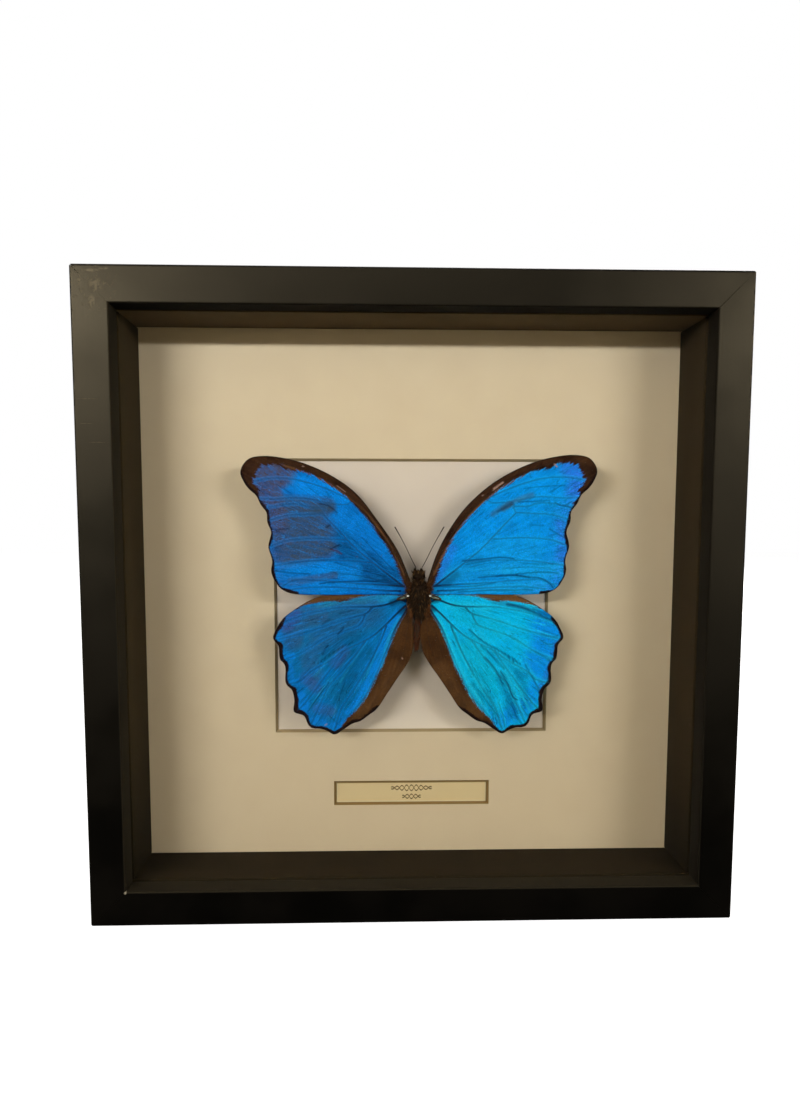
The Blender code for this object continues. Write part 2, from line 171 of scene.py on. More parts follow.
def makeTubes(name, resolution, lines):
    # Capped tubes along lines of (x, y, z, radius) in mm, as one mesh
    curve = bpy.data.curves.new(name, "CURVE")
    curve.dimensions, curve.use_fill_caps = "3D", True
    curve.bevel_depth, curve.bevel_resolution = mm, resolution
    for line in lines:
        spline = curve.splines.new("POLY")
        spline.points.add(len(line) - 1)
        for knot, (x, y, z, radius) in zip(spline.points, line):
            knot.co, knot.radius = (x * mm, y * mm, z * mm, 1), radius
    selectOnly(linkPiece(name, curve))
    bpy.ops.object.convert(target="MESH")
    piece = bpy.context.active_object
    bpy.ops.object.shade_smooth()
    piece.select_set(False)
    return piece


def smoothLine(points, steps=6, closed=False):
    # A curve through every point, passing evenly between its neighbours
    points = np.array(points, float)
    count = len(points)
    line = []
    for k in range(count if closed else count - 1):
        near = [i % count if closed else min(max(i, 0), count - 1) for i in range(k - 1, k + 3)]
        before, start, end, after = points[near]
        for t in np.arange(steps) / steps:
            line.append(0.5 * (2 * start + (end - before) * t
                               + (2 * before - 5 * start + 4 * end - after) * t * t
                               + (3 * start - before - 3 * end + after) * t ** 3))
    if not closed:
        line.append(points[-1])
    return np.array(line)


def gapTo(points, line, closed=False):
    # The distance from each point to the line
    best = np.full(len(points), 1e9)
    ends = np.roll(line, -1, axis=0) if closed else line[1:]
    for start, end in zip(line, ends):
        run = end - start
        t = np.clip(((points - start) @ run) / max(run @ run, 1e-12), 0, 1)
        best = np.minimum(best, np.hypot(*(points - start - t[:, None] * run).T))
    return best


def inside(points, line):
    found = np.zeros(len(points), bool)
    for start, end in zip(line, np.roll(line, -1, axis=0)):
        crosses = (start[1] > points[:, 1]) != (end[1] > points[:, 1])
        slope = (end[0] - start[0]) / (end[1] - start[1] if end[1] != start[1] else 1e-12)
        found ^= crosses & (points[:, 0] < start[0] + slope * (points[:, 1] - start[1]))
    return found


def depthIn(points, line):
    # How far each point lies inside the closed line; less than nothing outside it
    return gapTo(points, line, True) * np.where(inside(points, line), 1, -1)


def easeStep(low, high, values):
    t = np.clip((values - low) / (high - low), 0, 1)
    return t * t * (3 - 2 * t)


def evenly(line, count):
    # The closed line again, as this many points the same distance apart
    loop = np.vstack([line, line[:1]])
    run = np.concatenate([[0], np.cumsum(np.hypot(*np.diff(loop, axis=0).T))])
    at = np.linspace(0, run[-1], count, endpoint=False)
    return np.column_stack([np.interp(at, run, loop[:, k]) for k in (0, 1)])


# Points are (outwards, up) in mm from the middle of the thorax. A vein is (root radius, end radius, points).
# A stroke is (channel, half width, softness, strength, points).

forewing = {
    "outline": [(3.6, 7.0), (8.2, 20.0), (15.9, 33.0), (25.0, 42.7), (35.1, 49.8), (46.2, 54.7), (56.3, 57.0),
                (63.4, 57.3), (68.3, 55.8), (70.9, 51.3), (69.7, 47.3), (67.7, 44.3), (64.8, 41.6),
                (63.1, 38.0), (60.9, 34.9), (60.6, 31.0), (59.2, 26.8), (60.3, 21.2), (58.9, 15.6),
                (59.3, 10.9), (57.6, 6.7), (54.6, 3.4), (49.6, 1.8), (39.0, 1.4), (27.5, 1.5), (14.0, 1.5),
                (5.6, 1.6), (4.8, 4.4)],
    "spine": [(13.0, 13.0), (54.0, 40.0)],
    "fan": (-6.0, 6.0),
    "margin": slice(9, 23),
    "marginWidth": 0.95,
    "costaRadii": (0.34, 0.16),
    "veinGirth": 0.7,
    "blue": [(5.6, 4.6), (6.6, 6.5), (9.9, 16.1), (14.1, 24.7), (19.7, 32.3), (26.8, 39.4), (34.3, 45.1),
             (40.8, 48.8), (46.4, 51.2), (53.0, 52.3), (56.2, 54.0), (62.8, 53.5), (65.0, 49.8), (66.0, 47.0),
             (63.7, 43.7), (64.0, 40.9), (61.4, 38.0), (61.5, 34.0), (64.0, 30.0), (64.0, -2.0), (2.0, -2.0),
             (3.4, 3.6)],
    "veins": [
        (0.42, 0.2, [(4.4, 7.5), (8.4, 17.0), (15.6, 29.4), (24.4, 38.8), (34.8, 46.6), (45.6, 51.9),
                     (55.0, 54.9)]),
        (0.26, 0.17, [(6.4, 4.8), (18.5, 14.4), (25.1, 20.0), (29.3, 24.3), (33.1, 28.5), (38.9, 34.6)]),
        (0.15, 0.09, [(29.3, 24.0), (31.7, 24.0), (41.2, 24.5), (52.1, 23.8), (59.4, 21.4)]),
        (0.15, 0.09, [(18.5, 14.4), (28.0, 15.4), (41.3, 15.4), (50.0, 14.6), (58.4, 13.4)]),
        (0.12, 0.08, [(38.9, 34.6), (45.7, 34.2), (52.8, 33.8), (60.4, 31.6)]),
        (0.12, 0.09, [(38.9, 34.6), (37.9, 36.1), (37.7, 38.0), (34.4, 38.5), (29.2, 38.5), (26.8, 39.8)]),
        (0.15, 0.09, [(26.8, 39.8), (28.7, 40.8), (34.3, 43.4), (42.7, 46.5), (51.6, 48.5), (59.6, 48.6),
                      (65.7, 47.4)]),
        (0.13, 0.08, [(34.4, 38.5), (39.1, 39.4), (44.2, 40.5), (50.4, 40.9), (57.4, 40.4), (63.5, 40.6)]),
        (0.12, 0.08, [(37.9, 37.1), (43.3, 37.1), (48.5, 38.5), (55.1, 38.0), (61.3, 36.6)]),
        (0.2, 0.09, [(6.0, 4.7), (12.8, 5.3), (28.1, 6.3), (41.5, 7.4), (50.0, 7.6), (54.8, 5.0)]),
        (0.14, 0.07, [(7.6, 2.9), (14.3, 3.1), (27.2, 4.2), (41.5, 4.7), (51.0, 3.8)]),
    ],
    "costa": slice(0, 10),
}

hindwing = {
    "outline": [(5.1, 0.6), (12.0, 3.2), (24.0, 4.6), (33.0, 3.4), (38.5, 1.3), (44.6, -1.1), (50.6, -4.8),
                (54.9, -8.1), (57.4, -11.9), (59.0, -16.1), (56.9, -19.4), (56.4, -24.4), (54.3, -27.8),
                (54.2, -34.4), (51.6, -37.8), (50.8, -41.8), (50.9, -46.6), (47.0, -48.3), (44.4, -53.0),
                (38.8, -54.2), (34.6, -56.3), (31.2, -54.6), (27.6, -52.2), (23.6, -50.8), (20.2, -48.3),
                (16.9, -45.7), (12.6, -39.2), (8.4, -32.9), (4.4, -27.0), (2.4, -21.5), (2.2, -14.0),
                (2.7, -8.2), (4.4, -4.8), (5.1, -2.2)],
    "spine": [(13.0, -8.0), (37.0, -38.0)],
    "fan": (1.5, 3.0),
    "margin": slice(7, 26),
    "marginWidth": 1.25,
    "costaRadii": (0.09, 0.13),
    "veinGirth": 0.58,
    "blue": [(4.0, -1.0), (8.0, 0.9), (18.1, 1.3), (25.6, 0.1), (31.0, -1.2), (36.4, -1.3), (42.2, -1.9),
             (47.4, -3.4), (52.0, -5.0), (62.0, -6.0), (62.0, -60.0), (36.0, -60.0), (32.9, -55.0),
             (30.4, -50.7), (26.1, -46.9), (22.3, -42.2), (18.5, -35.4), (15.0, -28.1), (12.5, -21.8),
             (9.1, -12.9), (5.5, -6.2), (4.0, -3.0)],
    "veins": [
        (0.2, 0.1, [(5.5, -1.6), (7.7, -0.9), (13.2, -2.8), (19.0, -3.6), (30.6, -3.7), (38.1, -4.8),
                    (45.6, -6.4), (55.4, -10.0)]),
        (0.12, 0.07, [(19.0, -4.0), (21.9, -6.5), (28.2, -8.2), (34.0, -9.9), (42.4, -12.8), (56.6, -16.5)]),
        (0.12, 0.07, [(21.9, -6.8), (22.8, -9.1), (24.9, -11.6), (30.7, -13.5), (38.3, -16.2), (46.7, -21.6),
                      (55.6, -25.4)]),
        (0.22, 0.09, [(5.5, -3.3), (9.4, -7.0), (13.2, -10.8), (17.4, -14.6), (21.6, -17.3), (30.8, -21.7),
                      (36.7, -25.9), (43.9, -29.9), (48.2, -33.6), (53.4, -35.0)]),
        (0.13, 0.08, [(21.6, -17.5), (25.9, -23.4), (28.8, -26.8), (32.2, -31.0), (36.5, -35.6), (39.4, -41.6),
                      (42.1, -47.6), (44.1, -51.8)]),
        (0.12, 0.08, [(30.8, -21.7), (34.3, -26.8), (38.7, -32.7), (43.0, -38.6), (47.0, -43.6),
                      (49.6, -46.2)]),
        (0.14, 0.08, [(13.2, -11.6), (14.5, -15.0), (16.6, -20.1), (20.6, -27.6), (26.0, -37.0), (31.6, -45.5),
                      (34.4, -54.1)]),
        (0.15, 0.1, [(5.0, -5.0), (9.6, -12.9), (13.2, -21.8), (19.2, -35.4), (23.0, -42.0), (29.4, -49.4)]),
        (0.16, 0.07, [(4.0, -7.0), (4.6, -13.0), (6.0, -22.0), (11.6, -33.0), (20.0, -45.4)]),
    ],
    "costa": slice(0, 8),
}

forewingRightStrokes = [
    ("dark", 0.15, 0.8, 0.6, [(31.5, 34.9), (34.6, 36.7), (37.4, 38.3)]),
    ("smudge", 0.5, 1.4, 0.9, [(33.6, 36.2), (36.6, 38.0)]),
    ("smudge", 0.2, 1.6, 0.55, [(29.6, 33.8), (34.0, 37.0), (41.0, 40.2), (45.0, 41.6)]),
    ("dark", 0.15, 0.5, 0.9, [(31.0, 8.9), (38.0, 9.3), (44.6, 8.5)]),
    ("dark", 0.1, 0.35, 0.7, [(24.0, 8.3), (38.0, 9.6), (49.0, 10.6), (56.0, 10.2)]),
    ("dark", 0.1, 0.35, 0.8, [(44.6, 8.5), (49.0, 8.2), (52.4, 6.2), (54.0, 4.4)]),
    ("dark", 0.1, 0.3, 0.6, [(10.0, 4.4), (22.7, 4.9), (31.0, 6.3)]),
    ("dark", 0.1, 0.3, 0.6, [(16.0, 2.4), (30.0, 3.2), (46.0, 3.4)]),
    ("dark", 0.1, 0.4, 0.8, [(17.6, 15.0), (25.6, 15.8), (32.4, 16.5), (38.0, 16.1)]),
    ("dark", 0.05, 0.3, 0.55, [(18.4, 13.4), (23.0, 14.3), (28.6, 15.1)]),
    ("dark", 0.05, 0.3, 0.5, [(20.6, 12.5), (25.0, 13.6), (30.6, 14.6)]),
    ("dark", 0.05, 0.3, 0.5, [(40.0, 14.4), (47.0, 13.9), (54.0, 13.9)]),
    ("dark", 0.05, 0.3, 0.45, [(34.0, 12.0), (44.0, 12.6), (53.0, 12.2)]),
    ("dark", 0.05, 0.4, 0.6, [(52.3, 28.0), (55.4, 26.2), (58.6, 24.3)]),
    ("dark", 0.05, 0.35, 0.4, [(55.8, 28.6), (57.2, 27.0), (58.8, 26.4)]),
    ("dark", 0.05, 0.35, 0.35, [(56.4, 32.0), (58.2, 30.6)]),
    ("dark", 0.05, 0.3, 0.5, [(44.6, 29.6), (50.0, 29.4)]),
    ("dark", 0.05, 0.35, 0.6, [(54.4, 38.6), (57.6, 37.3), (61.0, 39.0)]),
    ("dark", 0.05, 0.35, 0.7, [(56.2, 37.4), (60.0, 36.9), (61.6, 35.8)]),
    ("dark", 0.05, 0.4, 0.55, [(39.6, 38.8), (46.0, 39.0), (52.0, 39.4)]),
    ("dark", 0.05, 0.4, 0.45, [(42.0, 44.2), (49.0, 44.9), (58.0, 45.4)]),
    ("violet", 1.6, 4.0, 0.75, [(60.0, 51.6), (63.6, 47.4), (62.4, 43.0)]),
    ("violet", 0.6, 3.0, 0.55, [(56.6, 30.0), (58.4, 24.0), (57.4, 17.0)]),
    ("violet", 0.6, 2.4, 0.45, [(7.0, 7.0), (10.0, 13.0), (13.6, 20.0)]),
    ("light", 1.0, 3.4, 0.5, [(12.0, 9.0), (26.0, 11.6), (44.0, 11.2)]),
    ("light", 0.3, 1.8, 0.5, [(14.0, 3.4), (30.0, 3.6), (46.0, 5.0)]),
    ("light", 1.4, 3.2, 0.8, [(35.0, 11.4), (46.0, 11.2), (56.0, 11.6)]),
    ("light", 0.8, 2.6, 0.85, [(20.0, 4.0), (38.0, 4.2), (50.0, 5.0)]),
    ("dark", 0.3, 2.2, 0.5, [(5.6, 4.4), (10.0, 5.4), (15.0, 9.4)]),
    ("dark", 0.3, 1.4, 0.7, [(4.6, 1.8), (7.4, 2.4)]),
    ("deep", 1.2, 3.6, 0.75, [(10.0, 8.0), (18.0, 12.4), (23.0, 15.0)]),
    ("deep", 0.8, 3.0, 0.6, [(12.0, 8.0), (26.0, 10.0)]),
    ("deep", 1.0, 4.0, 0.4, [(54.0, 37.4), (59.6, 35.4)]),
    ("light", 1.6, 5.0, 0.35, [(27.0, 20.0), (38.0, 20.0), (46.0, 20.6)]),
    ("glint", 0.16, 0.3, 0.9, [(29.8, 44.0), (33.4, 46.5)]),
    ("glint", 0.1, 0.3, 0.7, [(29.6, 43.2), (31.4, 44.5)]),
    ("glint", 0.1, 0.25, 0.8, [(25.2, 41.2), (25.5, 41.5)]),
    ("glint", 0.12, 0.3, 0.8, [(53.8, 53.8), (54.8, 52.8)]),
    ("tan", 0.15, 0.55, 0.75, [(6.0, 9.4), (10.4, 18.8), (17.6, 30.0), (25.8, 38.8), (35.4, 45.8),
                               (44.0, 50.2)]),
]

forewingLeftStrokes = [
    ("dull", 1.8, 2.8, 0.95, [(37.0, 37.0), (47.0, 37.4), (57.0, 38.4)]),
    ("dull", 3.2, 5.0, 1.0, [(42.0, 34.0), (48.0, 32.6), (53.4, 32.4)]),
    ("dull", 3.6, 5.4, 1.0, [(40.6, 27.0), (47.0, 25.2), (52.6, 23.6)]),
    ("dull", 2.2, 4.6, 0.95, [(38.0, 20.8), (46.0, 18.8), (54.0, 17.6)]),
    ("dull", 0.8, 1.2, 0.7, [(34.0, 9.4), (42.0, 8.0), (51.6, 6.8)]),
    ("violet", 4.2, 3.8, 1.0, [(55.6, 50.6), (60.6, 46.8), (61.0, 42.0)]),
    ("violet", 2.6, 3.4, 0.9, [(60.0, 41.0), (57.4, 35.4), (57.0, 30.0)]),
    ("deep", 2.0, 3.6, 0.7, [(41.0, 35.6), (50.0, 36.6), (56.0, 37.0)]),
    ("smudge", 0.8, 2.6, 0.7, [(35.6, 36.6), (39.0, 36.0), (42.0, 35.6)]),
    ("violet", 0.4, 1.6, 0.6, [(52.0, 23.0), (57.0, 22.4)]),
    ("deep", 3.2, 4.2, 0.95, [(12.0, 7.6), (22.0, 14.0), (31.6, 23.0)]),
    ("deep", 1.4, 2.6, 0.7, [(22.0, 9.6), (34.0, 12.4)]),
    ("dark", 0.3, 2.0, 0.55, [(5.6, 4.6), (10.0, 5.6), (14.0, 8.2)]),
    ("dark", 0.3, 1.4, 0.7, [(4.6, 1.8), (7.4, 2.4)]),
    ("light", 2.0, 2.4, 0.9, [(30.6, 40.0), (38.0, 43.0), (46.4, 45.4), (51.0, 46.8)]),
    ("light", 1.6, 3.6, 0.5, [(22.0, 22.0), (28.0, 29.6), (34.0, 35.0)]),
    ("light", 1.8, 2.4, 1.0, [(26.0, 11.0), (34.0, 11.4), (44.0, 12.0), (56.4, 12.2)]),
    ("light", 0.8, 1.8, 0.8, [(26.0, 7.6), (38.0, 5.4), (50.0, 4.8)]),
    ("light", 0.6, 1.2, 0.8, [(54.6, 26.2), (57.4, 24.6)]),
    ("light", 0.5, 1.2, 0.75, [(55.4, 31.6), (57.8, 30.0)]),
    ("light", 0.5, 1.4, 0.7, [(48.0, 9.0), (57.0, 8.4)]),
    ("light", 0.6, 1.2, 0.7, [(30.0, 3.6), (42.0, 3.0), (50.0, 3.8)]),
    ("light", 0.4, 1.6, 0.5, [(10.0, 3.4), (24.0, 3.4)]),
    ("light", 1.6, 3.0, 0.5, [(12.0, 16.0), (20.0, 26.0), (28.0, 34.0)]),
    ("cyan", 0.3, 1.5, 0.6, [(36.0, 20.6), (46.0, 19.5), (52.6, 21.6)]),
    ("cyan", 0.2, 1.2, 0.55, [(24.0, 8.6), (33.0, 10.4)]),
    ("cyan", 0.15, 0.9, 0.5, [(16.0, 5.2), (30.0, 5.6), (40.0, 4.8)]),
    ("dark", 0.12, 0.5, 0.7, [(35.9, 29.4), (37.2, 28.6)]),
    ("dark", 0.1, 0.4, 0.8, [(35.6, 19.9), (32.0, 21.6)]),
    ("tear", 0.08, 0.35, 0.8, [(35.2, 19.9), (33.0, 19.0), (31.2, 17.9)]),
    ("dark", 0.1, 0.4, 0.7, [(40.0, 38.0), (36.0, 37.0), (33.0, 34.4)]),
    ("dark", 0.1, 0.35, 0.8, [(8.4, 5.6), (20.0, 6.8), (34.0, 6.6), (40.0, 6.0)]),
    ("dark", 0.05, 0.3, 0.6, [(12.0, 8.0), (22.0, 11.0), (34.0, 14.4)]),
    ("dark", 0.05, 0.3, 0.6, [(14.0, 6.6), (26.0, 9.4), (36.0, 10.6)]),
    ("dark", 0.05, 0.3, 0.5, [(10.0, 11.0), (16.0, 17.0), (23.0, 24.4)]),
    ("dark", 0.05, 0.3, 0.5, [(9.4, 8.4), (17.0, 14.4), (27.0, 24.0)]),
    ("dark", 0.1, 0.4, 0.7, [(44.0, 9.9), (52.0, 10.3), (57.4, 11.2)]),
    ("dark", 0.05, 0.3, 0.5, [(30.0, 16.2), (40.0, 15.4), (52.0, 14.6)]),
    ("dark", 0.05, 0.35, 0.6, [(54.6, 21.6), (57.6, 20.4)]),
    ("dark", 0.05, 0.35, 0.6, [(52.6, 28.0), (57.4, 27.4)]),
    ("cyan", 0.1, 0.4, 0.5, [(44.2, 29.3), (44.5, 29.0)]),
    ("cyan", 0.1, 0.4, 0.4, [(45.1, 19.4), (45.5, 19.2)]),
    ("glint", 0.12, 0.3, 1.0, [(21.4, 37.6), (21.8, 37.9)]),
    ("glint", 0.08, 0.25, 0.8, [(46.2, 52.6), (46.5, 52.7)]),
    ("glint", 0.14, 0.3, 0.6, [(29.8, 42.6), (33.0, 45.0)]),
    ("tan", 0.12, 0.5, 0.6, [(6.0, 9.4), (10.4, 18.8), (17.6, 30.0), (25.8, 38.6), (35.4, 45.4), (44.0, 49.6),
                             (54.0, 53.0)]),
]

hindwingRightStrokes = [
    ("dark", 0.14, 0.8, 0.85, [(36.0, -2.7), (41.6, -3.8), (47.0, -5.9), (52.0, -8.2), (56.4, -9.6)]),
    ("dark", 0.1, 0.8, 0.6, [(46.6, -4.4), (51.6, -6.6), (55.6, -9.0)]),
    ("smudge", 0.2, 1.2, 0.4, [(30.0, -1.6), (38.0, -3.0), (45.0, -4.6)]),
    ("deep", 0.8, 2.0, 0.4, [(30.0, -22.0), (36.0, -26.6), (43.0, -32.0)]),
    ("deep", 0.9, 3.0, 0.7, [(34.6, -33.0), (37.6, -40.0), (39.0, -48.0)]),
    ("dark", 0.1, 0.45, 0.8, [(33.6, -30.4), (36.4, -35.0), (38.6, -40.6), (40.6, -42.2)]),
    ("dark", 0.1, 0.5, 0.8, [(27.0, -24.6), (31.0, -28.8), (34.6, -35.6)]),
    ("dark", 0.1, 0.4, 0.7, [(25.6, -19.6), (30.0, -23.8), (35.0, -29.4)]),
    ("dark", 0.1, 0.4, 0.8, [(20.6, -13.0), (24.6, -16.6), (29.6, -20.0), (36.4, -23.6), (41.6, -27.4)]),
    ("dark", 0.05, 0.4, 0.7, [(22.6, -15.0), (27.0, -18.6), (33.0, -21.6), (39.0, -26.6)]),
    ("dark", 0.05, 0.4, 0.7, [(43.6, -27.6), (47.0, -33.4), (49.6, -38.0)]),
    ("dark", 0.05, 0.4, 0.6, [(47.6, -22.0), (51.6, -24.6), (54.8, -27.4)]),
    ("dark", 0.05, 0.35, 0.6, [(50.0, -14.6), (54.0, -16.0), (57.0, -15.2)]),
    ("dark", 0.05, 0.35, 0.6, [(51.0, -18.4), (54.0, -19.2), (56.0, -18.4)]),
    ("dark", 0.05, 0.35, 0.6, [(38.0, -43.6), (40.6, -49.0), (42.8, -52.2)]),
    ("dark", 0.05, 0.35, 0.6, [(42.2, -44.6), (44.4, -48.0), (46.6, -49.4)]),
    ("dark", 0.05, 0.3, 0.55, [(15.0, -14.6), (17.8, -22.6), (22.6, -32.0)]),
    ("dark", 0.05, 0.3, 0.5, [(24.6, -38.0), (28.6, -43.6), (33.4, -49.8)]),
    ("dark", 0.05, 0.3, 0.5, [(33.0, -43.4), (34.8, -48.6), (35.6, -53.4)]),
    ("dark", 0.05, 0.3, 0.45, [(21.0, -26.0), (23.6, -31.0), (25.0, -35.0)]),
    ("light", 0.2, 0.8, 0.85, [(8.6, -9.0), (12.6, -18.0), (17.0, -28.6), (22.8, -39.0), (28.0, -45.8)]),
    ("light", 0.1, 0.6, 0.8, [(14.0, -12.6), (16.8, -20.8), (20.6, -29.6)]),
    ("light", 0.1, 0.6, 0.8, [(34.6, -28.8), (37.6, -34.0), (40.6, -41.0), (43.4, -47.6)]),
    ("light", 0.1, 0.5, 0.75, [(20.0, -12.0), (25.0, -16.0), (27.6, -18.2)]),
    ("light", 0.1, 0.5, 0.75, [(21.6, -12.4), (26.0, -16.2), (29.4, -18.8)]),
    ("light", 0.1, 0.5, 0.7, [(44.0, -27.0), (47.4, -32.0), (50.0, -38.6)]),
    ("light", 0.15, 0.7, 0.7, [(40.0, -36.0), (43.4, -42.0), (46.6, -48.4)]),
    ("light", 0.1, 0.6, 0.65, [(32.6, -42.6), (35.0, -48.8), (36.0, -54.0)]),
    ("light", 0.1, 0.6, 0.5, [(24.0, -24.0), (27.0, -30.0)]),
    ("tan", 1.6, 4.0, 0.16, [(9.0, -30.0), (15.0, -40.0), (24.0, -48.6)]),
    ("tan", 1.3, 1.6, 0.42, [(19.0, 3.0), (27.0, 2.0), (35.0, 0.9), (42.0, -0.6), (46.4, -2.2)]),
    ("outer", 4.5, 7.0, 1.0, [(54.0, -11.0), (54.0, -18.0), (51.0, -26.0)]),
    ("outer", 1.0, 2.6, 0.5, [(52.0, -30.0), (50.0, -38.0)]),
    ("outer", 1.0, 4.4, 0.8, [(48.4, -35.0), (46.0, -42.0), (40.0, -47.4), (33.0, -51.6)]),
    ("violet", 0.3, 1.4, 0.55, [(56.6, -17.6), (54.6, -23.4), (52.6, -31.0), (50.0, -37.0)]),
    ("cyan", 2.0, 5.0, 0.4, [(18.0, -6.0), (30.0, -12.0)]),
    ("cyan", 3.0, 6.0, 0.7, [(21.0, -22.0), (26.0, -31.0), (27.6, -37.0)]),
    ("deep", 0.5, 2.4, 0.65, [(27.6, -38.6), (30.4, -45.0), (32.0, -50.6)]),
    ("deep", 0.5, 2.4, 0.6, [(22.0, -37.0), (27.0, -46.0)]),
    ("deep", 0.6, 2.6, 0.65, [(40.6, -30.0), (43.0, -38.0), (44.4, -44.6)]),
    ("light", 0.6, 2.0, 0.6, [(12.0, -3.0), (22.0, -3.4), (28.0, -4.4)]),
    ("light", 0.5, 1.8, 0.5, [(44.0, -2.6), (48.0, -3.8)]),
    ("dark", 0.3, 1.4, 0.7, [(4.4, -3.4), (6.4, -5.0)]),
    ("dark", 0.3, 1.4, 0.7, [(4.8, -1.4), (7.4, -1.2)]),
]

hindwingLeftStrokes = [
    ("tan", 1.6, 4.0, 0.16, [(9.0, -30.0), (15.0, -40.0), (24.0, -48.6)]),
    ("tan", 1.3, 1.6, 0.3, [(19.0, 3.0), (27.0, 2.0), (35.0, 0.9), (42.0, -0.6), (46.4, -2.2)]),
    ("light", 0.9, 1.0, 1.0, [(50.6, -14.6), (56.6, -15.4)]),
    ("light", 0.9, 1.1, 0.9, [(51.4, -23.6), (55.0, -23.6)]),
    ("light", 0.5, 1.3, 0.7, [(52.6, -27.6), (51.6, -34.0)]),
    ("light", 1.5, 1.8, 0.95, [(48.0, -40.6), (47.0, -45.6)]),
    ("light", 1.0, 2.2, 0.9, [(43.0, -50.6), (36.6, -53.0), (31.0, -52.2)]),
    ("light", 0.8, 1.5, 0.85, [(8.2, -6.0), (13.8, -14.6), (17.2, -27.0), (23.0, -39.4), (28.6, -47.0)]),
    ("cyan", 0.6, 1.4, 1.0, [(6.4, -6.4), (11.0, -15.6), (14.6, -26.4), (20.0, -38.0), (25.4, -46.6)]),
    ("cyan", 0.15, 0.5, 0.95, [(21.2, -17.6), (26.4, -25.6), (32.2, -34.8)]),
    ("cyan", 0.15, 0.5, 0.9, [(31.6, -20.0), (36.6, -25.0), (42.4, -32.0)]),
    ("cyan", 0.1, 0.4, 0.95, [(36.6, -33.8), (41.2, -40.0), (45.0, -46.0)]),
    ("cyan", 0.12, 0.6, 0.7, [(13.6, -11.6), (16.4, -20.0), (21.4, -32.0)]),
    ("cyan", 0.1, 0.5, 0.6, [(32.4, -40.0), (34.8, -48.6)]),
    ("cyan", 0.15, 0.6, 0.6, [(35.6, -33.6), (38.4, -39.6), (40.0, -41.0)]),
    ("cyan", 0.1, 0.5, 0.6, [(26.4, -38.6), (22.6, -33.0), (20.4, -28.0)]),
    ("cyan", 1.0, 2.6, 0.75, [(8.0, 0.2), (18.0, -0.6), (30.0, -1.6), (40.0, -4.6)]),
    ("dull", 2.4, 3.6, 0.9, [(40.0, -7.0), (49.0, -9.6), (51.0, -17.0)]),
    ("dull", 1.8, 3.6, 0.6, [(40.0, -17.6), (44.6, -24.0), (42.6, -31.0)]),
    ("dull", 4.0, 7.0, 0.5, [(22.0, -5.0), (32.0, -7.6), (39.0, -13.0)]),
    # Painted shadow of the forewing's lower edge along the top of the hindwing
    ("dull", 0.8, 2.4, 0.7, [(18.0, -2.4), (28.0, -3.2), (36.0, -4.4)]),
    ("violet", 1.2, 3.0, 0.85, [(50.6, -6.6), (54.0, -11.0)]),
    ("violet", 0.9, 2.8, 0.55, [(30.6, -22.0), (34.0, -26.6)]),
    ("violet", 0.9, 2.8, 0.6, [(46.0, -33.0), (42.0, -36.6)]),
    ("violet", 0.9, 2.6, 0.5, [(41.0, -45.4), (36.0, -46.6)]),
    ("deep", 2.4, 4.6, 0.7, [(18.0, -7.0), (25.0, -11.6), (23.0, -22.0)]),
    ("deep", 1.8, 3.6, 0.7, [(28.0, -32.0), (31.0, -43.6)]),
    ("deep", 4.0, 6.0, 0.85, [(29.0, -8.6), (34.0, -16.0), (31.0, -25.0)]),
    ("dark", 0.5, 2.0, 0.75, [(4.4, -3.4), (7.2, -5.6)]),
    ("dark", 0.5, 1.6, 0.8, [(4.8, -1.4), (8.0, -1.2), (11.0, -2.2)]),
    ("dark", 0.1, 0.35, 0.9, [(36.9, -19.4), (39.6, -23.0)]),
    ("dark", 0.1, 0.35, 0.9, [(30.6, -12.0), (33.0, -15.0)]),
    ("dark", 0.1, 0.35, 0.7, [(36.2, -8.6), (39.4, -11.0)]),
    ("dark", 0.06, 0.3, 0.8, [(36.8, -34.6), (41.6, -41.2), (45.2, -46.4)]),
    ("dark", 0.06, 0.3, 0.6, [(27.0, -18.0), (33.0, -21.0), (41.0, -26.6)]),
    ("dark", 0.05, 0.3, 0.5, [(15.0, -13.0), (17.6, -21.6), (23.0, -33.6)]),
    ("dark", 0.05, 0.3, 0.5, [(37.0, -48.0), (33.0, -52.0)]),
    ("dark", 0.05, 0.3, 0.5, [(30.0, -34.0), (33.6, -44.0)]),
    ("dark", 0.05, 0.3, 0.5, [(44.0, -28.0), (49.6, -34.6)]),
    ("glint", 0.1, 0.3, 0.9, [(6.6, -25.2), (6.9, -25.0)]),
    ("glint", 0.08, 0.3, 0.6, [(37.6, -51.9), (38.4, -52.4)]),
]
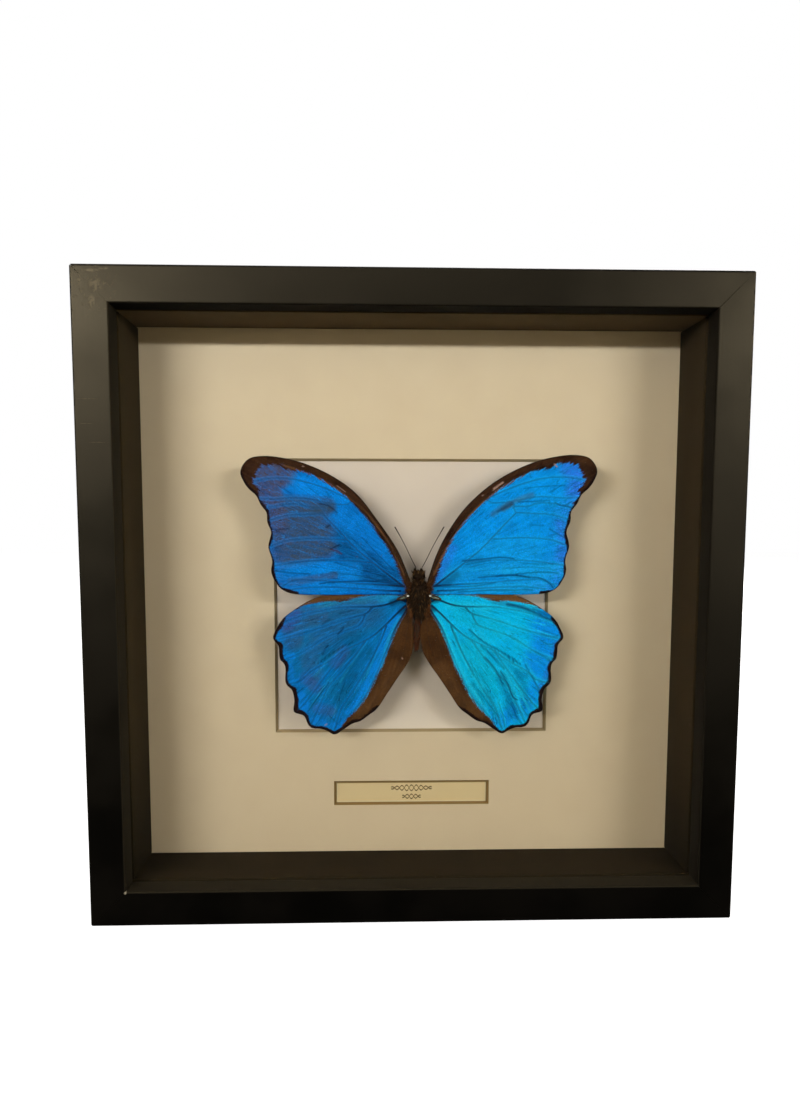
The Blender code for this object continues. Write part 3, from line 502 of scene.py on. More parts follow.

# Structural blue: no pigment makes it, so each wing's blue depends on how it lies to the light; each wing is
# painted in the blue it shows under this light, as lit and shaded copies of one blue
wingLooks = {
    "forewing_right": {"side": 1, "shape": forewing, "strokes": forewingRightStrokes, "base": "#0498fc",
                       "second": "#068cec", "light": "#18b0ff", "outer": "#2f84f8", "deep": "#0672c2",
                       "cyan": "#10a8d8", "dull": "#2a70a4", "violet": "#2f66ea", "dark": "#041f44",
                       "smudge": "#3a5058", "vein": "#066ab2", "streaks": 0.45, "mottle": 0.25},
    "forewing_left": {"side": -1, "shape": forewing, "strokes": forewingLeftStrokes, "base": "#0576da",
                      "second": "#066ac8", "light": "#0a8cf6", "outer": "#2f5cae", "deep": "#084a80",
                      "cyan": "#1a86cc", "dull": "#3a4c68", "violet": "#4c4658", "dark": "#071a36",
                      "smudge": "#33424e", "vein": "#0a4f8c", "streaks": 0.5, "mottle": 0.95},
    "hindwing_right": {"side": 1, "shape": hindwing, "strokes": hindwingRightStrokes, "base": "#04beff",
                       "second": "#04b6fa", "light": "#20cefc", "outer": "#0896ff", "deep": "#05508e",
                       "cyan": "#06b4dc", "dull": "#2a83a4", "violet": "#2f5fe0", "dark": "#052c58",
                       "smudge": "#2a5464", "vein": "#067aae", "streaks": 0.65, "mottle": 0.55},
    "hindwing_left": {"side": -1, "shape": hindwing, "strokes": hindwingLeftStrokes, "base": "#0675c6",
                      "second": "#0a70b2", "light": "#0a8af6", "outer": "#0f66c4", "deep": "#055688",
                      "cyan": "#22a4e0", "dull": "#2c5a8a", "violet": "#3c4f96", "dark": "#051a36",
                      "smudge": "#30485a", "vein": "#06507f", "streaks": 0.6, "mottle": 0.5},
}
borders = {
    "forewing": {"brown": "#3b2513", "brownDark": "#281709", "brownLight": "#553720", "brownPale": "#6e4c32"},
    "hindwing": {"brown": "#4b3016", "brownDark": "#3b250f", "brownLight": "#604222", "brownPale": "#8a6440"},
}
strokeChannels = ("dark", "smudge", "light", "outer", "deep", "cyan", "dull", "violet", "tan", "glint", "tear")


def morphoScales(name, look):
    # Butterfly wing: a thin chitin sheet roofed with rows of ribbed scales; a deep satin blue, matt and dusty
    # where they are rubbed
    material, shader, add = newMaterial(name, Roughness=0.5, Specular_IOR_Level=0.06, IOR=1.56,
                                        Specular_Tint="#5a8cff")
    where = add("TexCoord", out="Object")
    flow = add("Attribute", out="Vector", attribute_name="flow")
    channels = strokeChannels + ("blueGap", "marginGap", "veinGap")
    marks = {channel: add("Attribute", out="Fac", attribute_name=channel) for channel in channels}
    # Scale rows are 0.1 mm apart; drawn 0.45 mm across so that they show
    grain = add("TexNoise", {"Vector": where, "Scale": perSize(0.45), "Detail": 3.0, "Roughness": 0.62})
    # Pleats and rubbed lines run out from the wing's root, about 0.7 mm apart
    ribs = add("Mapping", {"Vector": flow, "Scale": (1.35, 0.085, 1.0)})
    streak = add("TexNoise", {"Vector": ribs, "Scale": 1.0, "Detail": 4.0, "Roughness": 0.66,
                              "Distortion": 0.35})
    # Patches of scales that lie differently, 5 mm across
    patch = add("TexNoise", {"Vector": where, "Scale": perSize(7.0), "Detail": 2.0, "Roughness": 0.5})
    # Fine curls where the scales have lifted
    curl = add("TexNoise", {"Vector": where, "Scale": perSize(1.5), "Detail": 4.0, "Roughness": 0.7,
                            "Distortion": 1.6})

    colour = add("Mix", {0: add("MapRange", (patch, 0.35, 0.65), **smooth), 6: look["base"], 7: look["second"]},
                 **tinted)
    broken = add("MapRange", (streak, 0.3, 0.62, 0.25, 1.0), **smooth)
    colour = add("Mix", {0: marks["outer"], 6: colour, 7: look["outer"]}, **tinted)
    for channel in ("cyan", "deep", "light"):
        colour = add("Mix", {0: add("Math", (marks[channel], broken), operation="MULTIPLY"), 6: colour,
                             7: look[channel]}, **tinted)
    # Creases: painted shade along hairlines where two pleats meet, each with a painted highlight on its lit
    # side
    crease = add("TexNoise", {"Vector": add("Mapping", {"Vector": flow, "Scale": (0.62, 0.045, 1.0)}),
                              "Scale": 1.0, "Detail": 2.5, "Roughness": 0.55, "Distortion": 0.5})
    folded = add("Math", (add("Math", (crease, 0.5), operation="SUBTRACT"),), operation="ABSOLUTE")
    creaseShade = add("Math", (add("MapRange", (folded, 0.014, 0.002), **smooth),
                           add("MapRange", (patch, 0.36, 0.56, 0.15, 1.0), **smooth)), operation="MULTIPLY")
    beside = add("Math", (add("Math", (crease, 0.526), operation="SUBTRACT"),), operation="ABSOLUTE")
    litSide = add("Math", (add("MapRange", (beside, 0.018, 0.003), **smooth),
                           add("MapRange", (patch, 0.64, 0.44, 0.1, 1.0), **smooth)), operation="MULTIPLY")
    ragged = add("Math", (add("MapRange", (curl, 0.36, 0.6, 0.72, 1.05), **smooth),
                          add("MapRange", (streak, 0.4, 0.6, -0.2, 0.12), **smooth)), operation="ADD")
    for channel in ("dull", "violet"):
        amount = add("Math", (marks[channel], ragged), operation="MULTIPLY", use_clamp=True)
        colour = add("Mix", {0: amount, 6: colour, 7: look[channel]}, **tinted)
    nearEdge = add("MapRange", (marks["marginGap"], 9.0, 0.5), **smooth)
    # Painted shade in the grooves beside the veins, darkest near the root
    reach = add("SeparateXYZ", (flow,), out="Y")
    grooveShade = add("Math", (add("MapRange", (marks["veinGap"], 0.6, 0.2), **smooth),
                          add("MapRange", (reach, 10.0, 32.0, 0.95, 0.25), **smooth)), operation="MULTIPLY")
    layers = [
        (add("MapRange", (streak, 0.56, 0.74, 0.0, look["streaks"]), **smooth), look["light"]),
        (add("MapRange", (streak, 0.44, 0.27, 0.0, look["streaks"] * 0.55), **smooth), look["dark"]),
        (add("Math", (add("MapRange", (curl, 0.6, 0.72), **smooth), look["mottle"] * 0.5),
             operation="MULTIPLY"), look["violet"]),
        (add("Math", (add("MapRange", (curl, 0.42, 0.3), **smooth), look["mottle"] * 0.5),
             operation="MULTIPLY"), look["dark"]),
        # Towards the margin the scales stand in deeper blue rows, with gaps between them
        (add("Math", (nearEdge, add("MapRange", (grain, 0.47, 0.58, 0.0, 0.75), **smooth)),
             operation="MULTIPLY"), look["outer"]),
        (add("Math", (nearEdge, add("MapRange", (streak, 0.47, 0.36, 0.0, 0.55), **smooth)),
             operation="MULTIPLY"), look["dark"]),
        # Painted highlight beside each crease, and painted shade along it
        (add("Math", (litSide, look["streaks"]), operation="MULTIPLY"), look["light"]),
        (add("Math", (creaseShade, look["streaks"]), operation="MULTIPLY"), look["dark"]),
        # Painted highlight beside the veins and painted shade in the grooves along them; then what has been
        # rubbed, folded into creases or torn
        (add("Math", (add("MapRange", (marks["veinGap"], 1.3, 0.6), **smooth), 0.3), operation="MULTIPLY"),
         look["light"]),
        (grooveShade, look["dark"]),
        (add("Math", (marks["smudge"], add("MapRange", (grain, 0.35, 0.6, 0.5, 1.0), **smooth)),
             operation="MULTIPLY"), look["smudge"]),
        (add("Math", (marks["dark"], add("MapRange", (grain, 0.3, 0.55, 0.55, 1.0), **smooth)),
             operation="MULTIPLY"), look["dark"]),
        (marks["tear"], "#4c1c14"),
    ]
    for amount, shade in layers:
        colour = add("Mix", {0: amount, 6: colour, 7: shade}, **tinted)
    # The dark borders: brown-black, with an edge frayed along the scale rows
    fray = add("Math", (grain, 2.2, -3.2), operation="MULTIPLY_ADD")
    fray = add("Math", (streak, 4.2, fray), operation="MULTIPLY_ADD")
    blueHere = add("MapRange", (add("Math", (marks["blueGap"], fray), operation="ADD"), -0.35, 0.4), **smooth)
    brown = add("Mix", {0: add("MapRange", (patch, 0.38, 0.66), **smooth), 6: look["brown"],
                        7: look["brownDark"]}, **tinted)
    layers = [
        (add("MapRange", (streak, 0.52, 0.72, 0.0, 0.5), **smooth), look["brownLight"]),
        (marks["tan"], look["brownPale"]),
    ]
    for amount, shade in layers:
        brown = add("Mix", {0: amount, 6: brown, 7: shade}, **tinted)
    colour = add("Mix", {0: blueHere, 6: brown, 7: colour}, **tinted)
    wander = add("Math", (patch, 3.0, -2.05), operation="MULTIPLY_ADD")
    wander = add("Math", (grain, 1.1, wander), operation="MULTIPLY_ADD")
    marginWidth = look["shape"]["marginWidth"]
    edge = add("MapRange", (add("Math", (marks["marginGap"], wander), operation="ADD"), marginWidth + 0.25,
                            marginWidth - 0.25), **smooth)
    layers = [
        (edge, "#1c100b"),
        (marks["glint"], "#a98a80"),
    ]
    for amount, shade in layers:
        colour = add("Mix", {0: amount, 6: colour, 7: shade}, **tinted)
    grainValue = add("MapRange", (grain, 0.28, 0.72, 0.76, 1.3), **smooth)
    shaded = add("HueSaturation", {"Color": colour, "Value": grainValue})
    height = add("Math", (grain, 0.35, streak), operation="MULTIPLY_ADD")
    feed(shader, Base_Color=shaded, Roughness=add("MapRange", (blueHere, 0.0, 1.0, 0.62, 0.46), **smooth),
         Normal=add("Bump", {"Height": height, "Strength": 0.55, "Distance": 0.1 * mm}))
    return material


def wingPoints(shape, side, points):
    # The left forewing has sagged: its leading edge bows and its tip hangs lower
    points = np.array(points, float)
    if shape is hindwing and side > 0:
        # Its inner edge has folded over towards the body
        near = np.clip((9 - points[:, 0]) / 6, 0, 1) * np.exp(-((points[:, 1] + 15) / 8) ** 2)
        points = np.column_stack([points[:, 0] - 1.7 * near, points[:, 1]])
    if shape is forewing and side < 0:
        leading = np.clip(points[:, 1] / np.maximum(points[:, 0], 1) - 0.9, 0, 1)
        bow = leading * np.exp(-((np.hypot(*points.T) - 33) / 14) ** 2)
        points = np.column_stack([points[:, 0] + 0.9 * bow, points[:, 1] * 0.985 - 1.6 * bow])
    return points


def flatPoints(piece, side):
    # The vertices of a finished piece as (outwards, up) in mm
    corners = meshCorners(piece.data) / mm
    return np.column_stack([(corners[:, 0] - centre[0]) * side, corners[:, 2] - centre[2]])


def reliefOf(points, veinGap, shape):
    # How far the wing stands towards the glass, in mm: it lifts to its tip, with raised veins and soft pleats
    rise = 0.052 * np.maximum(0, points[:, 0] - 4)
    ridge = 0.10 * np.exp(-(veinGap / 0.55) ** 2)
    out = points - np.array(shape["fan"])
    turn, reach = np.degrees(np.arctan2(out[:, 1], out[:, 0])), np.hypot(*out.T)
    spread = easeStep(8, 40, reach)
    pleats = 0.11 * np.sin(turn * 1.9 + 0.05 * reach) + 0.05 * np.sin(turn * 5.3 + 0.9 * np.sin(reach * 0.22))
    crinkle = 0.05 * np.sin(points[:, 0] * 1.7 + 2.0 * np.sin(points[:, 1] * 0.9)) * np.sin(points[:, 1] * 1.3)
    hollow = 0.18 * easeStep(0, 5, veinGap)
    return rise + ridge + spread * (pleats + crinkle - hollow)


wingMesh = {"around": 420, "across": 54, "thickness": 0.14}


def makeWing(name, look):
    side, shape = look["side"], look["shape"]
    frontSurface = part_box(name)[1].y / mm - 0.3  # the membrane's front at the root
    outline = evenly(smoothLine(wingPoints(shape, side, shape["outline"]), 12, True), wingMesh["around"])
    start, end = (np.array(p) for p in shape["spine"])
    along = np.clip(((outline - start) @ (end - start)) / ((end - start) @ (end - start)), 0, 1)
    heart = start + along[:, None] * (end - start)
    heart = heart + 0.012 * (outline - heart)
    # A grid wrapped round: its columns follow the outline and its rows step inwards to the middle of the wing
    bpy.ops.object.select_all(action="DESELECT")
    bpy.ops.mesh.primitive_grid_add(x_subdivisions=wingMesh["around"],
                                    y_subdivisions=wingMesh["across"], size=1)
    piece = bpy.context.active_object
    piece.name = name + "_membrane"
    corners = meshCorners(piece.data)
    column = np.rint((corners[:, 0] + 0.5) * wingMesh["around"]).astype(int) % wingMesh["around"]
    inward = (corners[:, 1] + 0.5)[:, None]
    flat = outline[column] * (1 - inward) + heart[column] * inward
    veins = [smoothLine(wingPoints(shape, side, line), 5) for _, _, line in shape["veins"]]
    veinGap = np.min([gapTo(flat, line) for line in veins], axis=0)
    lifted = reliefOf(flat, veinGap, shape)
    placed = np.column_stack([centre[0] + side * flat[:, 0], frontSurface - lifted, centre[2] + flat[:, 1]])
    piece.data.vertices.foreach_set("co", (placed * mm).astype(np.float32).ravel())
    piece.data.update()
    bpy.ops.object.mode_set(mode="EDIT")
    bpy.ops.mesh.select_all(action="SELECT")
    bpy.ops.mesh.remove_doubles(threshold=0.004 * mm)
    bpy.ops.mesh.select_all(action="DESELECT")
    bpy.ops.mesh.select_non_manifold()
    bpy.ops.object.mode_set(mode="OBJECT")
    # Only the inner loop is filled, so the outer one is taken out of the selection
    deep = gapTo(flatPoints(piece, side), outline, True) > 0.5
    for edge in piece.data.edges:
        edge.select = edge.select and bool(deep[list(edge.vertices)].all())
    for vertex, kept in zip(piece.data.vertices, deep):
        vertex.select = vertex.select and bool(kept)
    bpy.ops.object.mode_set(mode="EDIT")
    bpy.ops.mesh.fill(use_beauty=True)
    bpy.ops.mesh.select_all(action="SELECT")
    bpy.ops.mesh.normals_make_consistent(inside=False)
    bpy.ops.object.mode_set(mode="OBJECT")
    if sum(polygon.normal.y * polygon.area for polygon in piece.data.polygons) > 0:
        bpy.ops.object.mode_set(mode="EDIT")
        bpy.ops.mesh.flip_normals()
        bpy.ops.object.mode_set(mode="OBJECT")
    solid = piece.modifiers.new("thickness", "SOLIDIFY")
    solid.thickness, solid.offset = wingMesh["thickness"] * mm, -1
    applyModifiers(piece)
    bpy.ops.object.select_all(action="DESELECT")
    for polygon in piece.data.polygons:
        polygon.use_smooth = True
    # What the material reads at each point of the wing
    flat = flatPoints(piece, side)
    count = len(flat)
    blue = smoothLine(wingPoints(shape, side, shape["blue"]), 4, True)
    margin = smoothLine(wingPoints(shape, side, shape["outline"][shape["margin"]]), 8)
    out = flat - np.array(shape["fan"])
    fields = {channel: np.zeros(count) for channel in strokeChannels}
    fields["veinGap"] = np.min([gapTo(flat, line) for line in veins], axis=0)
    fields["blueGap"] = depthIn(flat, blue)
    fields["marginGap"] = gapTo(flat, margin)
    for channel, width, softness, strength, line in look["strokes"]:
        amount = strength * (1 - easeStep(width, width + softness, gapTo(flat, smoothLine(line, 5))))
        fields[channel] = np.maximum(fields[channel], amount)
    for field, values in fields.items():
        storeField(piece.data, field, values)
    flow = np.column_stack([np.degrees(np.arctan2(out[:, 1], out[:, 0])), np.hypot(*out.T), np.zeros(count)])
    storeField(piece.data, "flow", flow, "FLOAT_VECTOR", "vector")
    finishPiece(piece, morphoScales("morphoScales_" + name, look), "wing_blue", name)
    makeVeins(name, look, frontSurface)


def makeVeins(name, look, frontSurface):
    # The veins are hollow struts that stand half proud of the membrane; the front edge of the wing carries the
    # thickest
    side, shape = look["side"], look["shape"]
    lines = list(shape["veins"]) + [(*shape["costaRadii"], shape["outline"][shape["costa"]])]
    smoothed = [smoothLine(wingPoints(shape, side, line), 5) for _, _, line in shape["veins"]]
    tubes = []
    for k, (rootRadius, endRadius, line) in enumerate(lines):
        points = smoothLine(wingPoints(shape, side, line), 7)
        radii = np.linspace(rootRadius, endRadius, len(points))
        if k == len(lines) - 1:  # the front edge, drawn in a little
            middle = points.mean(axis=0)
            points = points + 0.2 * (middle - points) / np.hypot(*(middle - points).T)[:, None]
        else:
            radii = radii * shape["veinGirth"]
        lifted = reliefOf(points, np.min([gapTo(points, other) for other in smoothed], axis=0), shape)
        tubes.append(np.column_stack([centre[0] + side * points[:, 0], frontSurface - lifted + 0.25 * radii,
                                      centre[2] + points[:, 1], radii]))
    piece = makeTubes(name + "_veins", 1, tubes)
    flat = flatPoints(piece, side)
    blue = smoothLine(wingPoints(shape, side, shape["blue"]), 4, True)
    storeField(piece.data, "blueGap", depthIn(flat, blue))
    storeField(piece.data, "reach", np.hypot(*(flat - np.array(shape["fan"])).T))
    finishPiece(piece, wingVein("wingVein_" + name, look), "wing_blue")


def wingVein(name, look):
    # Wing vein: a tube of dark horn under a thin coat of scales; dark at the root, nearly as blue as the wing
    # further out
    material, shader, add = newMaterial(name, Roughness=0.42, IOR=1.56, Specular_IOR_Level=0.15)
    where = add("TexCoord", out="Object")
    coat = add("TexNoise", {"Vector": where, "Scale": perSize(1.2), "Detail": 3.0, "Roughness": 0.6})
    outward = add("MapRange", (add("Attribute", out="Fac", attribute_name="reach"), 8.0, 38.0, -0.16, 0.45))
    worn = add("MapRange", (add("Math", (coat, outward), operation="ADD"), 0.4, 0.72), **smooth)
    shade = add("Mix", {0: worn, 6: look["dark"], 7: look["vein"]}, **tinted)
    blueHere = add("MapRange", (add("Attribute", out="Fac", attribute_name="blueGap"), -0.2, 0.3))
    shade = add("Mix", {0: blueHere, 6: "#2b1a0e", 7: shade}, **tinted)
    feed(shader, Base_Color=shade, Roughness=add("MapRange", {0: coat, 3: 0.34, 4: 0.6}),
         Normal=add("Bump", {"Height": coat, "Strength": 0.4, "Distance": 0.05 * mm}))
    return material


for name, look in wingLooks.items():
    makeWing(name, {**look, **borders[name.split("_")[0]]})
print("wings made")


def growDown(name, material, roots, directions, lengths, look, seed):
    # Tapered, bent hairs, each a closed sliver of ten faces
    random = np.random.default_rng(seed)
    count = len(roots)
    directions = directions / np.linalg.norm(directions, axis=1)[:, None]
    side = np.cross(directions, random.normal(size=(count, 3)))
    side /= np.linalg.norm(side, axis=1)[:, None]
    other = np.cross(directions, side)
    bend = (side * random.normal(0, look["curl"], count)[:, None] + np.array(look["comb"]) * look["sweep"])
    thickness = look["radius"] * random.uniform(0.7, 1.3, count)
    rings = []
    for t, girth in ((0.0, 1.0), (0.4, 0.85), (0.75, 0.55)):
        centre = roots + lengths[:, None] * (directions * t + bend * t * t)
        for turn in (0, 2.094, 4.189):  # three corners a ring
            corner = math.cos(turn) * side + math.sin(turn) * other
            rings.append(centre + (thickness * girth)[:, None] * corner)
    rings.append(roots + lengths[:, None] * (directions + bend))
    points = np.stack(rings, axis=1).reshape(-1, 3)  # ten points a hair
    pattern = [(2, 1, 0)]
    for ring in (0, 3):
        pattern += [(ring + k, ring + (k + 1) % 3, ring + 3 + (k + 1) % 3, ring + 3 + k) for k in range(3)]
    pattern += [(6 + k, 6 + (k + 1) % 3, 9) for k in range(3)]
    faces = [tuple(10 * hair + k for k in face) for hair in range(count) for face in pattern]
    mesh = bpy.data.meshes.new(name)
    mesh.from_pydata((points * mm).tolist(), [], faces)
    mesh.validate()
    storeField(mesh, "tone", np.repeat(random.random(count), 10))
    storeField(mesh, "reach", np.tile([0.0] * 3 + [0.4] * 3 + [0.75] * 3 + [1.0], count))
    finishPiece(linkPiece(name, mesh), material, "down")


def insectDown(name, dark, light, tip):
    # Insect down: fine hollow hairs and hair-scales; matt at a distance, with a dry gloss along each strand
    material, shader, add = newMaterial(name, Roughness=0.58, IOR=1.55, Specular_IOR_Level=0.12)
    tone = add("Attribute", out="Fac", attribute_name="tone")
    reach = add("Attribute", out="Fac", attribute_name="reach")
    where = add("TexCoord", out="Object")
    clump = add("TexNoise", {"Vector": where, "Scale": perSize(1.6), "Detail": 2.0})
    mixed = add("Math", (tone, clump), operation="MULTIPLY")
    shade = add("ValToRGB", {"Fac": mixed}, stops=[(0.12, dark), (0.62, light)])
    shade = add("Mix", {0: add("MapRange", (reach, 0.5, 1.0, 0.0, 0.5)), 6: shade, 7: tip}, **tinted)
    feed(shader, Base_Color=shade, Roughness=add("MapRange", {0: tone, 3: 0.42, 4: 0.7}))
    return material


def insectHorn(name, dark, light, roughness, grainSize):
    # Chitin: the insect's horny shell; dark, slightly waxy, finely pitted
    material, shader, add = newMaterial(name, Roughness=roughness, IOR=1.56, Specular_IOR_Level=0.25)
    where = add("TexCoord", out="Object")
    pits = add("TexNoise", {"Vector": where, "Scale": perSize(grainSize), "Detail": 4.0, "Roughness": 0.6})
    cells = add("TexVoronoi", {"Vector": where, "Scale": perSize(grainSize * 0.5)}, out="Distance")
    shade = add("ValToRGB", {"Fac": pits}, stops=[(0.3, dark), (0.72, light)])
    feed(shader, Base_Color=shade,
         Roughness=add("MapRange", {0: pits, 3: roughness - 0.1, 4: roughness + 0.15}),
         Normal=add("Bump", {"Height": cells, "Strength": 0.4, "Distance": 0.04 * mm}))
    return material


def addEllipsoid(name, centre, half, segments=40, rings=28):
    # Place and half sizes in mm
    bpy.ops.object.select_all(action="DESELECT")
    bpy.ops.mesh.primitive_uv_sphere_add(segments=segments, ring_count=rings, radius=mm,
                                         location=[c * mm for c in centre])
    piece = bpy.context.active_object
    piece.name = name
    piece.scale = half
    bakePlace(piece)
    for polygon in piece.data.polygons:
        polygon.use_smooth = True
    return piece


def onEllipsoid(random, count, centre, half):
    # Root points spread over an ellipsoid, and their outward directions
    ball = random.normal(size=(count, 3))
    ball /= np.linalg.norm(ball, axis=1)[:, None]
    roots = np.array(centre) + ball * np.array(half) * 0.97
    outward = ball / np.array(half)
    return roots, outward / np.linalg.norm(outward, axis=1)[:, None]


body = {
    "thoraxHalf": (4.0, 3.6, 7.0),
    "thoraxHairs": 3600,
    "thoraxTufts": 420,
    "fringeHairs": 150,
    "crownHairs": 70,
    "abdomenRings": 8,
    "abdomenHairs": 1200,
    "headHalf": (2.1, 1.7, 1.6),
    "headHairs": 700,
    "eyePlace": (1.75, -0.3, -1.0),
    "eyeHalf": (0.9, 1.05, 1.1),
    "palpPlace": (1.3, -1.0, 0.75),
    "palpHalf": (0.42, 0.5, 1.15),
    "palpHairs": 160,
}
darkDown = insectDown("insectDownDark", "#120a05", "#432b18", "#2c1e14")
duskDown = insectDown("insectDownDusk", "#2e180d", "#704828", "#5e3c22")
rustDown = insectDown("insectDownRust", "#38180e", "#74401f", "#60361c")
tuftDown = insectDown("insectDownTufts", "#1c1208", "#866542", "#6c4e30")
fringeDown = insectDown("insectDownFringe", "#482a12", "#965f34", "#845228")
shellHorn = insectHorn("insectHornBrown", "#140a07", "#3a2115", 0.5, 0.6)
eyeHorn = insectHorn("insectEyeHorn", "#120a07", "#2b1b12", 0.22, 0.18)


def shapedThorax():
    # Three humps: a narrow collar, the broad middle, and a lower hind part
    piece = addEllipsoid("thorax_shell", centre, body["thoraxHalf"], 48, 40)
    for vertex in piece.data.vertices:
        up = (vertex.co.z / mm - centre[2]) / body["thoraxHalf"][2]
        pinch = 1 - 0.10 * math.exp(-((up - 0.52) / 0.10) ** 2) - 0.08 * math.exp(-((up + 0.42) / 0.10) ** 2)
        keel = 1 - 0.05 * math.exp(-((vertex.co.x / mm - centre[0]) / 0.5) ** 2)
        vertex.co.x = specimenCentre.x + (vertex.co.x - specimenCentre.x) * pinch
        vertex.co.y = specimenCentre.y + (vertex.co.y - specimenCentre.y) * pinch * keel
    finishPiece(piece, shellHorn, "down", "thorax")


shapedThorax()
random = np.random.default_rng(11)
roots, outward = onEllipsoid(random, body["thoraxHairs"], centre, body["thoraxHalf"])
front = outward[:, 1] < 0.45  # none behind, where the block holds it
roots, outward = roots[front], outward[front]
height = (roots[:, 2] - centre[2]) / body["thoraxHalf"][2]
lay = np.column_stack([0.25 * np.sign(outward[:, 0]) * random.random(len(roots)), -0.05 * np.ones(len(roots)),
                       np.where(height > 0.55, 0.35, -1.0)])
trim = np.where(height > 0.55, 0.6, np.where(height < -0.4, 1.15, 0.85))
lengths = random.uniform(1.2, 3.0, len(roots)) * trim
growDown("thorax_down", darkDown, roots, outward * 0.55 + lay + random.normal(0, 0.25, roots.shape), lengths,
         {"curl": 0.18, "comb": (0, 0.12, -0.3), "sweep": 0.6, "radius": 0.1}, 12)
# Coarser locks stand out from it, longest where they hang over the abdomen and at the wing roots
roots, outward = onEllipsoid(random, body["thoraxTufts"], centre, body["thoraxHalf"])
front = outward[:, 1] < 0.2
roots, outward = roots[front], outward[front]
height = (roots[:, 2] - centre[2]) / body["thoraxHalf"][2]
lay = np.column_stack([0.55 * outward[:, 0], np.full(len(roots), -0.12), np.where(height > 0.6, 0.7, -1.0)])
growDown("thorax_locks", tuftDown, roots, outward * 0.35 + lay + random.normal(0, 0.24, roots.shape),
         random.uniform(1.6, 3.4, len(roots)) * np.where(height < -0.35, 1.2, 0.8),
         {"curl": 0.22, "comb": (0, 0.1, -0.2), "sweep": 0.6, "radius": 0.19}, 13)

# A brighter fringe hangs at each side of its lower end
count = body["fringeHairs"]
t = random.random((count, 1))
sign = np.where(random.random(count) < 0.5, -1, 1)
line = np.array((4.1, -2.6)) * (1 - t) + np.array((2.5, -7.0)) * t + random.normal(0, 0.25, (count, 2))
depth = centre[1] - 2.3 + random.normal(0, 0.3, count)
roots = np.column_stack([centre[0] + sign * line[:, 0], depth, centre[2] + line[:, 1]])
outward = np.column_stack([sign * random.uniform(0.0, 0.5, count), random.normal(-0.05, 0.1, count),
                           -np.ones(count)])
growDown("thorax_fringe", fringeDown, roots, outward, random.uniform(0.9, 2.0, count),
         {"curl": 0.15, "comb": (0, 0.1, 0), "sweep": 0.5, "radius": 0.12}, 15)

headCentre = (np.array(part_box("head")[0]) + np.array(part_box("head")[1])) / 2 / mm
skullCentre = headCentre + np.array((0, 0, -1.1))
finishPiece(addEllipsoid("head_shell", skullCentre, body["headHalf"]), shellHorn, "down", "head")
roots, outward = onEllipsoid(random, body["headHairs"], skullCentre, body["headHalf"])
keep = (outward[:, 1] < 0.5) & (np.abs(outward[:, 0]) < 0.86)
growDown("head_down", darkDown, roots[keep],
         outward[keep] + random.normal(0, 0.3, roots[keep].shape) + np.array((0, -0.1, 0.2)),
         random.uniform(0.6, 1.7, keep.sum()),
         {"curl": 0.25, "comb": (0, 0, 0.2), "sweep": 0.5, "radius": 0.1}, 14)
# Short locks stand up on its crown
count = body["crownHairs"]
random.random(count)  # passed over, so that the hairs after it keep their places
spread = ((-2.2, 2.2), (-1.6, 0.2), (-0.9, 0.5))
roots = headCentre + np.column_stack([random.uniform(low, high, count) for low, high in spread])
outward = np.column_stack([0.3 * (roots[:, 0] - headCentre[0]) + random.normal(0, 0.25, count),
                           random.normal(-0.2, 0.2, count), np.ones(count)])
growDown("head_locks", tuftDown, roots, outward, random.uniform(0.7, 2.0, count),
         {"curl": 0.25, "comb": (0, 0, 0.1), "sweep": 0.4, "radius": 0.2}, 16)
for side, sign in (("left", -1), ("right", 1)):
    eyeCentre = headCentre + np.array(body["eyePlace"]) * (sign, 1, 1)
    finishPiece(addEllipsoid(f"eye_{side}", eyeCentre, body["eyeHalf"], 36, 24), eyeHorn, "down")
    # Palps: two short brushes in front of the face
    palpCentre = headCentre + np.array(body["palpPlace"]) * (sign, 1, 1) - (0.3, 0, 0)
    finishPiece(addEllipsoid(f"palp_{side}", palpCentre, body["palpHalf"], 20, 16), shellHorn, "down")
    roots, outward = onEllipsoid(random, body["palpHairs"], palpCentre, body["palpHalf"])
    growDown(f"palp_down_{side}", darkDown, roots,
             outward * 0.6 + np.array((0, -0.15, 0.9)) + random.normal(0, 0.25, roots.shape),
             random.uniform(0.3, 0.8, len(roots)),
             {"curl": 0.15, "comb": (0, 0, 0.3), "sweep": 0.4, "radius": 0.08}, 20 + sign)


